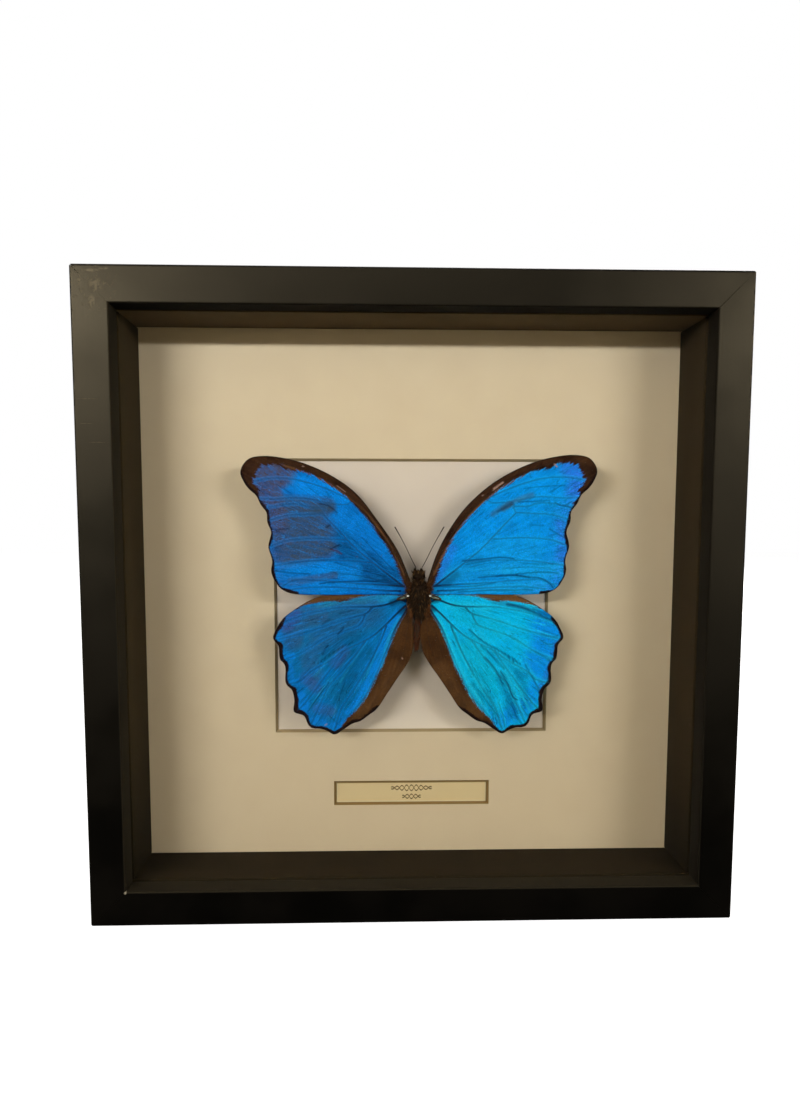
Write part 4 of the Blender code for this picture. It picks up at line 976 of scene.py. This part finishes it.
def makeAbdomen():
    # Ringed and slightly shrunken, hanging a little to one side
    low, high = (np.array(corner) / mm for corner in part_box("abdomen"))
    top = np.array((centre[0] - 0.15, (low[1] + high[1]) / 2, high[2] + 1.5))
    tail = np.array((centre[0] - 0.95, (low[1] + high[1]) / 2 + 0.3, low[2] + 0.2))
    length = top[2] - tail[2]
    piece = addEllipsoid("abdomen_shell", (top + tail) / 2, (1.0, 1.15, length / 2), 40, 72)
    for vertex in piece.data.vertices:
        t = (top[2] - vertex.co.z / mm) / length  # 0 at the thorax, 1 at the tail
        middle = top + (tail - top) * t
        wave = 2 * math.pi * body["abdomenRings"] * t
        ringed = 1 + 0.05 * (math.cos(wave) - math.cos(2 * wave))
        fuller = 1 + 0.25 * (1 - t) - 0.12 * t
        vertex.co.x = (middle[0] + (vertex.co.x / mm - (top[0] + tail[0]) / 2) * ringed * fuller) * mm
        vertex.co.y = (middle[1] + (vertex.co.y / mm - (top[1] + tail[1]) / 2) * ringed * fuller) * mm
    finishPiece(piece, shellHorn, "down", "abdomen")
    count = body["abdomenHairs"]
    t = random.uniform(0.02, 0.98, count)
    turn = random.uniform(math.pi * 0.9, math.pi * 2.1, count)
    girth = 1.0 * np.sqrt(np.maximum(0.05, 1 - (2 * t - 1) ** 4)) * (1 + 0.2 * (1 - t) - 0.15 * t)
    outward = np.column_stack([np.cos(turn), np.sin(turn), np.zeros(count)])
    roots = top + (tail - top) * t[:, None] + outward * girth[:, None] * 0.93
    growDown("abdomen_down", rustDown, roots,
             outward * 0.35 + np.array((0, 0, -1.0)) + random.normal(0, 0.12, roots.shape),
             random.uniform(0.5, 1.3, count),
             {"curl": 0.1, "comb": (0, 0.2, -0.2), "sweep": 0.4, "radius": 0.07}, 31)


makeAbdomen()

# Hair fans over the wing roots, lying along the wings
fans = {
    "hairs": 260,
    # (outwards, up) in mm where each fan begins and ends, and the way its hairs lie
    "forewing": ((3.4, 6.2), (4.0, 2.2), (0.9, 0.35)),
    "hindwing": ((3.6, -2.4), (2.6, -7.0), (0.55, -0.85)),
}
fanRoots, fanDirections = [], []
count = fans["hairs"]
for sign in (-1, 1):
    for start, end, lie in (fans["forewing"], fans["hindwing"]):
        t = random.random((count, 1))
        line = np.array(start) * (1 - t) + np.array(end) * t + random.normal(0, 0.35, (count, 2))
        depth = centre[1] - 1.9 + random.normal(0, 0.35, count)
        fanRoots.append(np.column_stack([centre[0] + sign * line[:, 0], depth, centre[2] + line[:, 1]]))
        outwards, inwards = sign * (lie[0] + random.normal(0, 0.2, count)), random.normal(-0.02, 0.1, count)
        fanDirections.append(np.column_stack([outwards, inwards, lie[1] + random.normal(0, 0.3, count)]))
fanRoots, fanDirections = np.vstack(fanRoots), np.vstack(fanDirections)
growDown("wing_root_down", duskDown, fanRoots, fanDirections, random.uniform(1.0, 2.4, len(fanRoots)),
         {"curl": 0.12, "comb": (0, 0.05, -0.1), "sweep": 0.5, "radius": 0.06}, 41)


def pearlyPlate(name, dark, light):
    # Bare wing-root plate: thin, clear horn over white; pearly with a wet glint
    material, shader, add = newMaterial(name, Roughness=0.2, IOR=1.56, Coat_Weight=0.6, Coat_Roughness=0.1)
    where = add("TexCoord", out="Object")
    cloud = add("TexNoise", {"Vector": where, "Scale": perSize(1.1), "Detail": 3.0})
    shade = add("ValToRGB", {"Fac": cloud}, stops=[(0.36, dark), (0.62, light)])
    feed(shader, Base_Color=shade, Roughness=add("MapRange", {0: cloud, 3: 0.12, 4: 0.4}),
         Normal=add("Bump", {"Height": cloud, "Strength": 0.5, "Distance": 0.1 * mm}))
    return material


pearl = pearlyPlate("wingRootPearl", "#3c3020", "#7c9894")
glintHorn = pearlyPlate("wingRootGlint", "#c4cccc", "#ffffff")
# An almond-shaped plate between the two wing roots, in a dark rim, with a bead at its inner end, painted near
# white as a glint.
# Each is (half sizes, shift towards the glass, material)
almonds = {"rim": ((2.7, 0.34, 0.9), 0.0, shellHorn), "plate": ((1.7, 0.36, 0.42), -0.2, pearl)}
for side, sign in (("left", -1), ("right", 1)):
    for part, (half, shift, material) in almonds.items():
        place = centre + np.array((sign * 6.5, -2.05 + shift, 0.05))
        almond = addEllipsoid(f"wing_root_{part}_{side}", place, half, 32, 20)
        almond.matrix_world = (Matrix.Translation(place * mm) @ Matrix.Rotation(sign * math.radians(14), 4, "Y")
                               @ Matrix.Translation(-place * mm))
        bakePlace(almond)
        finishPiece(almond, material, "down")
    bead = addEllipsoid(f"wing_root_bead_{side}", centre + np.array((sign * 4.55, -3.3, 0.95)),
                        (0.55, 0.4, 0.4), 20, 14)
    finishPiece(bead, glintHorn, "down")


antenna = {
    # (outwards, towards the glass, up) in mm from the middle of the thorax
    "path": [(1.2, -0.9, 12.2), (3.0, -1.3, 15.6), (5.1, -1.8, 20.0), (7.2, -2.2, 24.0), (9.9, -2.7, 28.8)],
    "radius": 0.16, "clubGirth": 0.12, "clubFrom": 0.75, "waist": 0.86,
}


def makeAntenna(side, sign):
    # A thread of about forty short joints, thickening to a slim club
    path = np.array([(centre[0] + sign * x, centre[1] + y, centre[2] + z) for x, y, z in antenna["path"]])
    fine = np.column_stack([smoothLine(path[:, [0, 2]], 24), smoothLine(path[:, [1, 2]], 24)[:, 0]])
    last = len(fine) - 1
    joints = []
    for k, (x, z, y) in enumerate(fine):
        club = max(0, (k / last - antenna["clubFrom"]) / (1 - antenna["clubFrom"])) ** 0.8
        radius = (antenna["radius"] + antenna["clubGirth"] * club) * (antenna["waist"] if k % 3 == 0 else 1.0)
        joints.append((x, y, z, radius * (0.6 if k == last else 1)))
    piece = makeTubes(f"antenna_{side}_joints", 2, [joints])
    finishPiece(piece, shellHorn, "antenna", f"antenna_{side}")


makeAntenna("left", -1)
makeAntenna("right", 1)
print("body made")

paint = {
    "black": "#050403",
    "softBlack": "#090706",
    "scuff": "#8d8168",
    "bareEdge": "#77694f",
    "scuffPlace": (-117.0, 240.0),
    "scuffReach": 13.0,
    "grainWidth": 0.9,
    "chip": "#cfc3a6",
    "chipPlace": (-111.4, 13.4),
    # The lip's inner faces: painted shade, and painted light on the sides that face the lamps
    "lip": "#0e0a06",
    "litLipSide": "#2b251a",
    # Single marks: (place along, place up, half width, half height) in mm
    "marks": [(-115.6, 240.6, 2.2, 2.6), (-117.2, 234.8, 1.2, 2.2), (-117.6, 245.6, 3.4, 0.5),
              (-112.6, 246.2, 1.8, 0.4), (-121.4, 243.0, 0.5, 2.6), (-119.0, 200.2, 4.6, 0.08),
              (-116.0, 184.6, 3.4, 0.07), (-120.6, 191.4, 2.4, 0.07)],
}


def satinBlackPaint(name, alongX):
    # Wood under satin black lacquer, sprayed: nearly black, an even half gloss, the grain just showing through;
    # rubbed pale at edges
    material, shader, add = newMaterial(name, Roughness=0.4, IOR=1.5, Specular_IOR_Level=0.3)
    where = add("TexCoord", out="Object")
    x, y, z = (add("SeparateXYZ", (where,), out=axis) for axis in "XYZ")
    stretch = (0.06, 1.0, 1.0) if alongX else (1.0, 1.0, 0.06)
    grain = add("TexNoise", {"Vector": add("Mapping", {"Vector": where, "Scale": stretch}),
                             "Scale": perSize(paint["grainWidth"]), "Detail": 4.0, "Roughness": 0.6})
    # Spray texture, 0.8 mm across
    peel = add("TexNoise", {"Vector": where, "Scale": perSize(0.8), "Detail": 1.0})
    # Handling: patches a few centimetres across where it is duller
    handled = add("TexNoise", {"Vector": where, "Scale": perSize(28.0), "Detail": 3.0})
    flecks = add("TexNoise", {"Vector": where, "Scale": perSize(1.6), "Detail": 5.0, "Roughness": 0.75,
                              "Distortion": 0.8})

    colour = add("Mix", {0: add("MapRange", (handled, 0.35, 0.65), **smooth), 6: paint["black"],
                         7: paint["softBlack"]}, **tinted)
    # The knocked corner, at the top left of the face
    face = add("CombineXYZ", (x, 0.0, z))
    across, up = paint["scuffPlace"]
    apart = add("VectorMath", (face, (across * mm, 0.0, up * mm)), out="Value", operation="DISTANCE")
    knocked = add("Math", (add("MapRange", (apart, paint["scuffReach"] * mm, 1.5 * mm), **smooth),
                           add("MapRange", (flecks, 0.54, 0.66), **smooth)), operation="MULTIPLY")
    rubbed = add("MapRange", (flecks, 0.4, 0.56), **smooth)
    for across, up, halfWidth, halfHeight in paint["marks"]:
        off = add("VectorMath", (face, (across * mm, 0.0, up * mm)), operation="SUBTRACT")
        off = add("VectorMath", (off, (halfWidth * mm, 1.0, halfHeight * mm)), operation="DIVIDE")
        gap = add("VectorMath", (off, off), out="Value", operation="DOT_PRODUCT")
        mark = add("Math", (add("MapRange", (gap, 1.6, 0.1), **smooth), rubbed), operation="MULTIPLY")
        knocked = add("Math", (knocked, mark), operation="MAXIMUM")
    knocked = add("Math", (knocked, add("MapRange", (y, frontY + 9 * mm, frontY + 3 * mm), **smooth)),
                  operation="MULTIPLY")
    # Rubbed outer corner of the face, most on the upper right
    faceEdge = add("MapRange", (y, frontY + 1.5 * mm, frontY + 0.3 * mm), **smooth)
    farRight = add("Math", (add("MapRange", (x, 123.9 * mm, 124.7 * mm), **smooth),
                            add("MapRange", (z, 0.15, 0.21, 0.1, 1.0), **smooth)), operation="MULTIPLY")
    farLeft = add("MapRange", (x, -124.2 * mm, -124.9 * mm, 0.0, 0.25), **smooth)
    farUp = add("MapRange", (z, 247.2 * mm, 247.9 * mm, 0.0, 0.2), **smooth)
    edges = add("Math", (add("Math", (farRight, add("Math", (farLeft, farUp), operation="MAXIMUM")),
                             operation="MAXIMUM"), faceEdge), operation="MULTIPLY")
    # The chip at the lower left inner corner
    across, up = paint["chipPlace"]
    chipGap = add("VectorMath", (face, (across * mm, 0.0, up * mm)), out="Value", operation="DISTANCE")
    chip = add("Math", (add("MapRange", (chipGap, 0.7 * mm, 0.3 * mm), **smooth),
                        add("MapRange", (y, frontY + 1.6 * mm, frontY + 0.8 * mm), **smooth)),
               operation="MULTIPLY")
    dull = add("Math", (add("MapRange", (handled, 0.3, 0.7, 0.31, 0.4), **smooth),
                        add("Math", (knocked, 0.2), operation="MULTIPLY")), operation="ADD")
    # The inner side of the lip was only sprayed in passing, so it is dull
    acrossGap = add("Math", (x,), operation="ABSOLUTE")
    upGap = add("Math", (add("Math", (z, middleZ), operation="SUBTRACT"),), operation="ABSOLUTE")
    inward = add("Math", (add("MapRange", (acrossGap, 111.9 * mm, 111.5 * mm), **smooth),
                          add("MapRange", (upGap, 110.9 * mm, 110.5 * mm), **smooth)), operation="MULTIPLY")
    dull = add("Math", (dull, add("Math", (inward, 0.85), operation="MULTIPLY")), operation="MAXIMUM")
    # The lip's inner faces are painted lit on the left and at the bottom, which face the lamps, and painted
    # shaded at the top and right
    leftOrLow = add("Math", (add("MapRange", (x, -110.6 * mm, -111.0 * mm), **smooth),
                             add("MapRange", (z, 14.4 * mm, 14.0 * mm), **smooth)), operation="MAXIMUM")
    lip = add("Mix", {0: leftOrLow, 6: paint["lip"], 7: paint["litLipSide"]}, **tinted)
    layers = [
        (add("Math", (knocked, 0.55), operation="MULTIPLY"), paint["scuff"]),
        (add("Math", (edges, add("MapRange", (flecks, 0.44, 0.6), **smooth)), operation="MULTIPLY"),
         paint["bareEdge"]),
        (inward, lip),
        (add("Math", (chip, add("MapRange", (flecks, 0.3, 0.5), **smooth)), operation="MULTIPLY"),
         paint["chip"]),
    ]
    for amount, shade in layers:
        colour = add("Mix", {0: amount, 6: colour, 7: shade}, **tinted)
    height = add("Math", (peel, 0.35, add("Math", (knocked, -0.8), operation="MULTIPLY")),
                 operation="MULTIPLY_ADD")
    height = add("Math", (grain, 0.6, height), operation="MULTIPLY_ADD")
    feed(shader, Base_Color=colour, Roughness=dull,
         Normal=add("Bump", {"Height": height, "Strength": 0.35, "Distance": 0.08 * mm}))
    return material


paintAcross = satinBlackPaint("satinBlackPaintAcross", True)
dressNodes(["frame_rail_top", "frame_rail_bottom"], paintAcross)
dressNodes(["frame_rail_left", "frame_rail_right"], satinBlackPaint("satinBlackPaintUpright", False))

# Glue and paint fill the mitres. A profile is (distance in from the outer edge, depth behind the face) in mm.
# The lower two are filled flush, the upper left is nicked outside, and the upper right has opened inside
mitres = {
    "half": 0.085,
    "closed": [(0.5, 44.4), (0.5, 0.3), (0.75, 0.12), (1.0, 0.02), (13.2, 0.02), (13.55, 0.2), (13.74, 0.6),
               (13.74, 8.4), (9.36, 8.4), (9.36, 44.4)],
    "nicked": [(0.5, 44.4), (0.5, 0.9), (1.9, 0.8), (2.6, 0.02), (13.2, 0.02), (13.55, 0.2), (13.74, 0.6),
               (13.74, 8.4), (9.36, 8.4), (9.36, 44.4)],
    "opened": [(0.5, 44.4), (0.5, 0.3), (0.75, 0.12), (1.0, 0.02), (6.0, 0.02), (6.8, 0.35), (13.3, 0.5),
               (13.74, 0.9), (13.74, 8.4), (9.36, 8.4), (9.36, 44.4)],
    "corners": {"upper_left": (-1, 1, "nicked"), "upper_right": (1, 1, "opened"),
                "lower_left": (-1, -1, "closed"), "lower_right": (1, -1, "closed")},
}
halfWidth, halfHeight = cadBounds[1].x / mm, (cadBounds[1].z - middleZ) / mm
for corner, (across, upward, kind) in mitres["corners"].items():
    profile = mitres[kind]
    corners = []
    for half in (-mitres["half"], mitres["half"]):
        shift = half / math.sqrt(2)  # square to the diagonal
        for inset, depth in profile:
            x, z = across * (halfWidth - inset + shift), upward * (halfHeight - inset - shift)
            corners.append((x * mm, frontY + depth * mm, middleZ + z * mm))
    count = len(profile)
    faces = [tuple(range(count)), tuple(range(2 * count - 1, count - 1, -1))]
    faces += [(k, count + k, count + (k + 1) % count, (k + 1) % count) for k in range(count)]
    mesh = bpy.data.meshes.new("mitre_fill_" + corner)
    mesh.from_pydata(corners, [], faces)
    fill = linkPiece("mitre_fill_" + corner, mesh)
    selectOnly(fill)
    bpy.ops.object.mode_set(mode="EDIT")
    bpy.ops.mesh.select_all(action="SELECT")
    bpy.ops.mesh.normals_make_consistent(inside=False)
    bpy.ops.object.mode_set(mode="OBJECT")
    fill.select_set(False)
    finishPiece(fill, paintAcross, "frame")


def paperSurface(name, shades, fibre, roughness, mottle=9.0, relief=0.03, gloss=0.3):
    # Paper and board: pressed plant fibres; matt and even, with faint cloudy tone and a tooth of fibres
    material, shader, add = newMaterial(name, Roughness=roughness, IOR=1.5, Specular_IOR_Level=gloss)
    where = add("TexCoord", out="Object")
    cloud = add("TexNoise", {"Vector": where, "Scale": perSize(mottle), "Detail": 4.0, "Roughness": 0.6})
    tooth = add("TexNoise", {"Vector": where, "Scale": perSize(fibre), "Detail": 3.0, "Roughness": 0.7,
                             "Distortion": 0.6})
    mixed = add("Mix", {0: 0.35, 2: cloud, 3: tooth})
    shade = add("ValToRGB", {"Fac": mixed}, stops=[(0.3, shades[0]), (0.7, shades[1])])
    feed(shader, Roughness=add("MapRange", {0: tooth, 3: roughness - 0.05, 4: roughness + 0.08}),
         Normal=add("Bump", {"Height": tooth, "Strength": 0.5, "Distance": relief * mm}), Base_Color=shade)
    return material, shader, add, where, shade


def creamMatBoard():
    # Mat board: cream surface paper on a core that shows, darker, where the window's bevel is cut
    material, shader, add, where, face = paperSurface("creamMatBoard", ("#d7c6ac", "#ddcdb3"), 0.5, 0.82, 14.0,
                                                      0.02)
    normal = add("NewGeometry", out="Normal")
    turned = add("MapRange", (add("Math", (add("SeparateXYZ", (normal,), out="Y"),), operation="ABSOLUTE"),
                              0.96, 0.9))
    height = add("SeparateXYZ", (where,), out="Z")
    low = add("MapRange", (height, 52 * mm, 50 * mm))  # round the label the core is inked
    core = add("Mix", {0: low, 6: "#a89472", 7: "#8d7246"}, **tinted)
    feed(shader, Base_Color=add("Mix", {0: turned, 6: face, 7: core}, **tinted))
    return material


dressNodes(["mat_board"], creamMatBoard())


def alongHeight(paper, high, low, shade, amount):
    # Painted light and shade: the paper's tone drifts towards another shade between two heights, as light
    # reaches it unevenly
    material, shader, add, where, face = paper
    height = add("SeparateXYZ", (where,), out="Z")
    paintedShading = add("MapRange", (height, high * mm, low * mm, 0.0, amount), **smooth)
    feed(shader, Base_Color=add("Mix", {0: paintedShading, 6: face, 7: shade}, **tinted))
    return material


# Black paper over the spacers: soft black, a little brown in the light; each strip is painted in the shade the
# light gives it, and painted shade darkens the side strips low down
linings = {
    "spacer_bottom": ("blackLiningPaper", ("#231c12", "#2b2317")),
    "spacer_right": ("blackLiningPaperSide", ("#2b2317", "#342a1c")),
    # The strips at the left and the top are painted lighter, as more light falls on them
    "spacer_left": ("blackLiningPaperLitLeft", ("#302819", "#3a3020")),
    "spacer_top": ("blackLiningPaperLitTop", ("#4d402b", "#594b35")),
}
for node, (name, shades) in linings.items():
    paper = paperSurface(name, shades, 0.7, 0.75, 16.0, 0.04, 0.12)
    dressNodes([node], alongHeight(paper, 78.0, 16.0, "#0c0906", 0.0 if node == "spacer_bottom" else 0.7))
backingPaper = paperSurface("whiteBackingCard", ("#d9ccc1", "#dfd3c9"), 0.45, 0.8, 22.0, 0.015)
# Painted light: the card is painted lighter towards its lower edge
dressNodes(["backing_card"], alongHeight(backingPaper, 82.0, 62.0, "#efe4d9", 0.9))

label = {
    "paper": ("#dac69c", "#e1cea5"), "ink": "#4f3814", "border": "#80673a", "pale": "#e2d8b8",
    # Rows of ornament: (height above the middle, half length, pitch, height of a wave) in mm
    "rows": ((1.5, 8.8, 2.1, 1.25), (-2.3, 4.0, 1.9, 1.0)),
    "lowWave": 0.45, "lineWidth": 0.27,
    "borderFrom": 32.3, "borderAbove": 3.75, "paleFrom": 31.95, "paleBelow": -4.1,
}


def labelCard():
    # Label stock: smooth pale yellow card, printed with a border and two small rows of interlaced waves
    material, shader, add, where, face = paperSurface("paleYellowLabel", label["paper"], 0.4, 0.75, 12.0, 0.012)
    low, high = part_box("label_card")
    fromMiddle = add("VectorMath", (where, (low + high) / 2), operation="SUBTRACT")
    across = add("Math", (add("SeparateXYZ", (fromMiddle,), out="X"),), operation="ABSOLUTE")
    up = add("SeparateXYZ", (fromMiddle,), out="Z")
    # Each row of ornament is a pair of interlaced waves that flatten towards its ends
    ink = 0.0
    for lift, half, pitch, size in label["rows"]:
        level = add("Math", (add("Math", (up, lift * mm), operation="SUBTRACT"),), operation="ABSOLUTE")
        turn = add("Math", (across, math.pi / (pitch * mm)), operation="MULTIPLY")
        swing = add("Math", (add("Math", (turn,), operation="COSINE"),), operation="ABSOLUTE")
        swell = add("MapRange", (across, half * 0.25 * mm, half * mm, size * mm, label["lowWave"] * mm))
        wave = add("Math", (level, add("Math", (swing, swell), operation="MULTIPLY")), operation="SUBTRACT")
        wave = add("Math", (wave,), operation="ABSOLUTE")
        inked = add("Math", (wave, label["lineWidth"] * mm), operation="LESS_THAN")
        within = add("Math", (across, half * mm), operation="LESS_THAN")
        ink = add("Math", (ink, add("Math", (inked, within), operation="MULTIPLY")), operation="MAXIMUM")
    # The printed border, with a pale line inside it
    border = add("Math", (add("Math", (across, label["borderFrom"] * mm), operation="GREATER_THAN"),
                          add("Math", (up, label["borderAbove"] * mm), operation="GREATER_THAN")),
                 operation="MAXIMUM")
    pale = add("Math", (add("Math", (across, label["paleFrom"] * mm), operation="GREATER_THAN"),
                        add("Math", (up, label["paleBelow"] * mm), operation="LESS_THAN")), operation="MAXIMUM")
    layers = [
        (add("Math", (pale, 0.7), operation="MULTIPLY"), label["pale"]),
        (add("Math", (border, 0.9), operation="MULTIPLY"), label["border"]),
        (add("Math", (ink, 0.9), operation="MULTIPLY"), label["ink"]),
    ]
    for amount, shade in layers:
        face = add("Mix", {0: amount, 6: face, 7: shade}, **tinted)
    feed(shader, Base_Color=face)
    return material


dressNodes(["label_card"], labelCard())


def clearGlass():
    # Picture glass: thin float glass, clear and flat; a faint sheen, and lamps shine straight through it
    material, shader, add = newMaterial("clearPictureGlass", Base_Color="#fdfefd", Roughness=0.0, IOR=1.45,
                                        Transmission_Weight=1.0, Specular_IOR_Level=0.3)
    where = add("TexCoord", out="Object")
    wipe = add("TexNoise", {"Vector": where, "Scale": perSize(40.0), "Detail": 3.0})
    feed(shader, Roughness=add("MapRange", (wipe, 0.4, 0.8, 0.0, 0.03)))
    lamps = add("LightPath", out="Is Shadow Ray")
    through = add("BsdfTransparent", {"Color": "#fdfefd"})
    mixed = add("MixShader", (lamps, shader.outputs[0], through))
    shader.id_data.links.new(mixed, shader.id_data.get_output_node("ALL").inputs["Surface"])
    return material


dressNodes(["glass_pane"], clearGlass())


def pressedHardboard():
    # Hardboard: steamed wood fibre pressed flat; brown, with a felted fleck
    return paperSurface("pressedHardboard", ("#5f4026", "#86603a"), 1.1, 0.7, 6.0, 0.08)[0]


def rawCork():
    # Cork: packed bark granules a few millimetres across, with dark seams
    material, shader, add = newMaterial("rawCork", Roughness=0.85, IOR=1.4)
    where = add("TexCoord", out="Object")
    granules = add("TexVoronoi", {"Vector": where, "Scale": perSize(1.4)}, out="Distance")
    shade = add("ValToRGB", {"Fac": granules}, stops=[(0.1, "#c39a6a"), (0.8, "#6d4a2c")])
    feed(shader, Base_Color=shade, Roughness=add("MapRange", {0: granules, 3: 0.75, 4: 0.95}),
         Normal=add("Bump", {"Height": granules, "Strength": 0.6, "Distance": 0.2 * mm}))
    return material


def zincSteel():
    # Zinc-plated pressed steel: pale grey with a faint spangle and fine rolling lines
    material, shader, add = newMaterial("zincPlatedSteel", Metallic=1.0, Roughness=0.38)
    where = add("TexCoord", out="Object")
    spangle = add("TexVoronoi", {"Vector": where, "Scale": perSize(1.8)}, out="Color")
    lines = add("TexNoise", {"Vector": add("Mapping", {"Vector": where, "Scale": (0.05, 1.0, 1.0)}),
                             "Scale": perSize(0.35), "Detail": 3.0})
    shade = add("Mix", {0: add("RGBToBW", (spangle,)), 6: "#9a9a98", 7: "#b9bab8"}, **tinted)
    feed(shader, Base_Color=shade, Roughness=add("MapRange", {0: lines, 3: 0.28, 4: 0.5}),
         Normal=add("Bump", {"Height": lines, "Strength": 0.3, "Distance": 0.03 * mm}))
    return material


dressNodes(["back_panel"], pressedHardboard())
dressNodes(["specimen_block"], rawCork())
dressNodes([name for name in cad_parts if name.startswith(("retaining_tab", "hanger"))], zincSteel())
print("frame dressed")

# Two long, low strips light the inside; cards at the sides and above give the black paint its sheen
studio = {
    "leftStrip": {"place": (-0.493, -0.72, 0.364), "size": (0.446, 0.048), "power": 7.75, "lights": "matt"},
    "rightStrip": {"place": (0.590, -0.72, 0.364), "size": (0.42, 0.048), "power": 6.2, "lights": "matt"},
    "leftCard": {"place": (-0.98, -1.50, 0.69), "size": (0.62, 0.54), "power": 16.5, "lights": "sheen"},
    "rightCard": {"place": (1.08, -1.50, 0.69), "size": (0.60, 0.50), "power": 7.4, "lights": "sheen"},
    "lowRightCard": {"place": (1.01, -1.50, 0.14), "size": (0.44, 0.30), "power": 1.3, "lights": "sheen"},
    "topCard": {"place": (-0.22, -1.50, 1.00), "size": (1.10, 0.50), "power": 4.2, "lights": "sheen"},
    "overhead": {"place": (0.0, 0.30, 2.6), "size": (1.6, 1.6), "power": 8.0, "lights": "all"},
    "backFill": {"place": (0.9, 1.9, 1.1), "size": (1.2, 1.2), "power": 30.0, "lights": "all"},
}
for name, look in studio.items():
    lamp = bpy.data.lights.new(name, "AREA")
    lamp.shape, lamp.size, lamp.size_y, lamp.energy = "RECTANGLE", *look["size"], look["power"]
    lamp.color = (1.0, 0.83, 0.53) if look["lights"] == "sheen" else (1.0, 0.985, 0.955)
    holder = linkPiece(name, lamp)
    holder.location = look["place"]
    # The strips face a little upwards, so that their light falls off down the mat
    facing = Vector((0.0, 0.0, middleZ)) - holder.location
    if look["lights"] == "matt":
        facing = Vector((0.0, 1.0, 0.84))
    holder.rotation_euler = facing.to_track_quat("-Z", "Y").to_euler()
    # None of them may lie as a streak across the glass
    holder.visible_glossy, holder.visible_transmission = look["lights"] != "matt", look["lights"] == "all"
    holder.visible_diffuse, holder.visible_camera = look["lights"] != "sheen", False

bpy.ops.object.select_all(action="DESELECT")
bpy.ops.mesh.primitive_plane_add(size=7, location=(0, 0, -0.0004))
floor = bpy.context.active_object
floor.name = "floor"
floorMaterial, floorShader, add = newMaterial("paleStudioFloor", Roughness=0.9, Specular_IOR_Level=0.1,
                                              Emission_Color="#ffffff", Emission_Strength=0.95)
floorCloud = add("TexNoise", {"Vector": add("TexCoord", out="Object"), "Scale": 3.0, "Detail": 2.0})
feed(floorShader, Base_Color=add("ValToRGB", {"Fac": floorCloud}, stops=[(0.3, "#f0efec"), (0.7, "#f5f4f2")]))
floor.data.materials.append(floorMaterial)
floor.visible_glossy = floor.visible_diffuse = floor.visible_transmission = False

world = bpy.data.worlds.new("studioWorld")
bpy.context.scene.world = world
world.use_nodes = True
world.node_tree.nodes.clear()
add = functools.partial(addNode, world.node_tree)
seen = add("LightPath", out="Is Camera Ray")
shine = add("LightPath", out="Is Glossy Ray")
backdrop = add("Background", {"Color": (1.0, 1.0, 1.0, 1.0), "Strength": 1.0})
ambient = add("Background", {"Color": (1.0, 0.98, 0.95, 1.0), "Strength": 0.035})
room = add("Background", {"Color": (1.0, 0.98, 0.95, 1.0), "Strength": 0.012})
around = add("MixShader", {0: shine, 1: ambient, 2: room})
add("OutputWorld", {"Surface": add("MixShader", {0: seen, 1: around, 2: backdrop})})
bpy.context.scene.view_settings.view_transform = "Standard"

cameraData = bpy.data.cameras.new("camera")
camera = linkPiece("camera", cameraData)
cameraData.sensor_fit, cameraData.sensor_height, cameraData.lens = "VERTICAL", 36, 24.49
cameraData.shift_x, cameraData.shift_y, cameraData.clip_start = 0.00482, 0.02304, 0.01
camera.location = (-0.0158, -0.3070, 0.1562)
camera.rotation_euler = [math.radians(a) for a in (85.11999, -0.07971, -1.57320)]
bpy.context.scene.camera = camera
print("studio set")
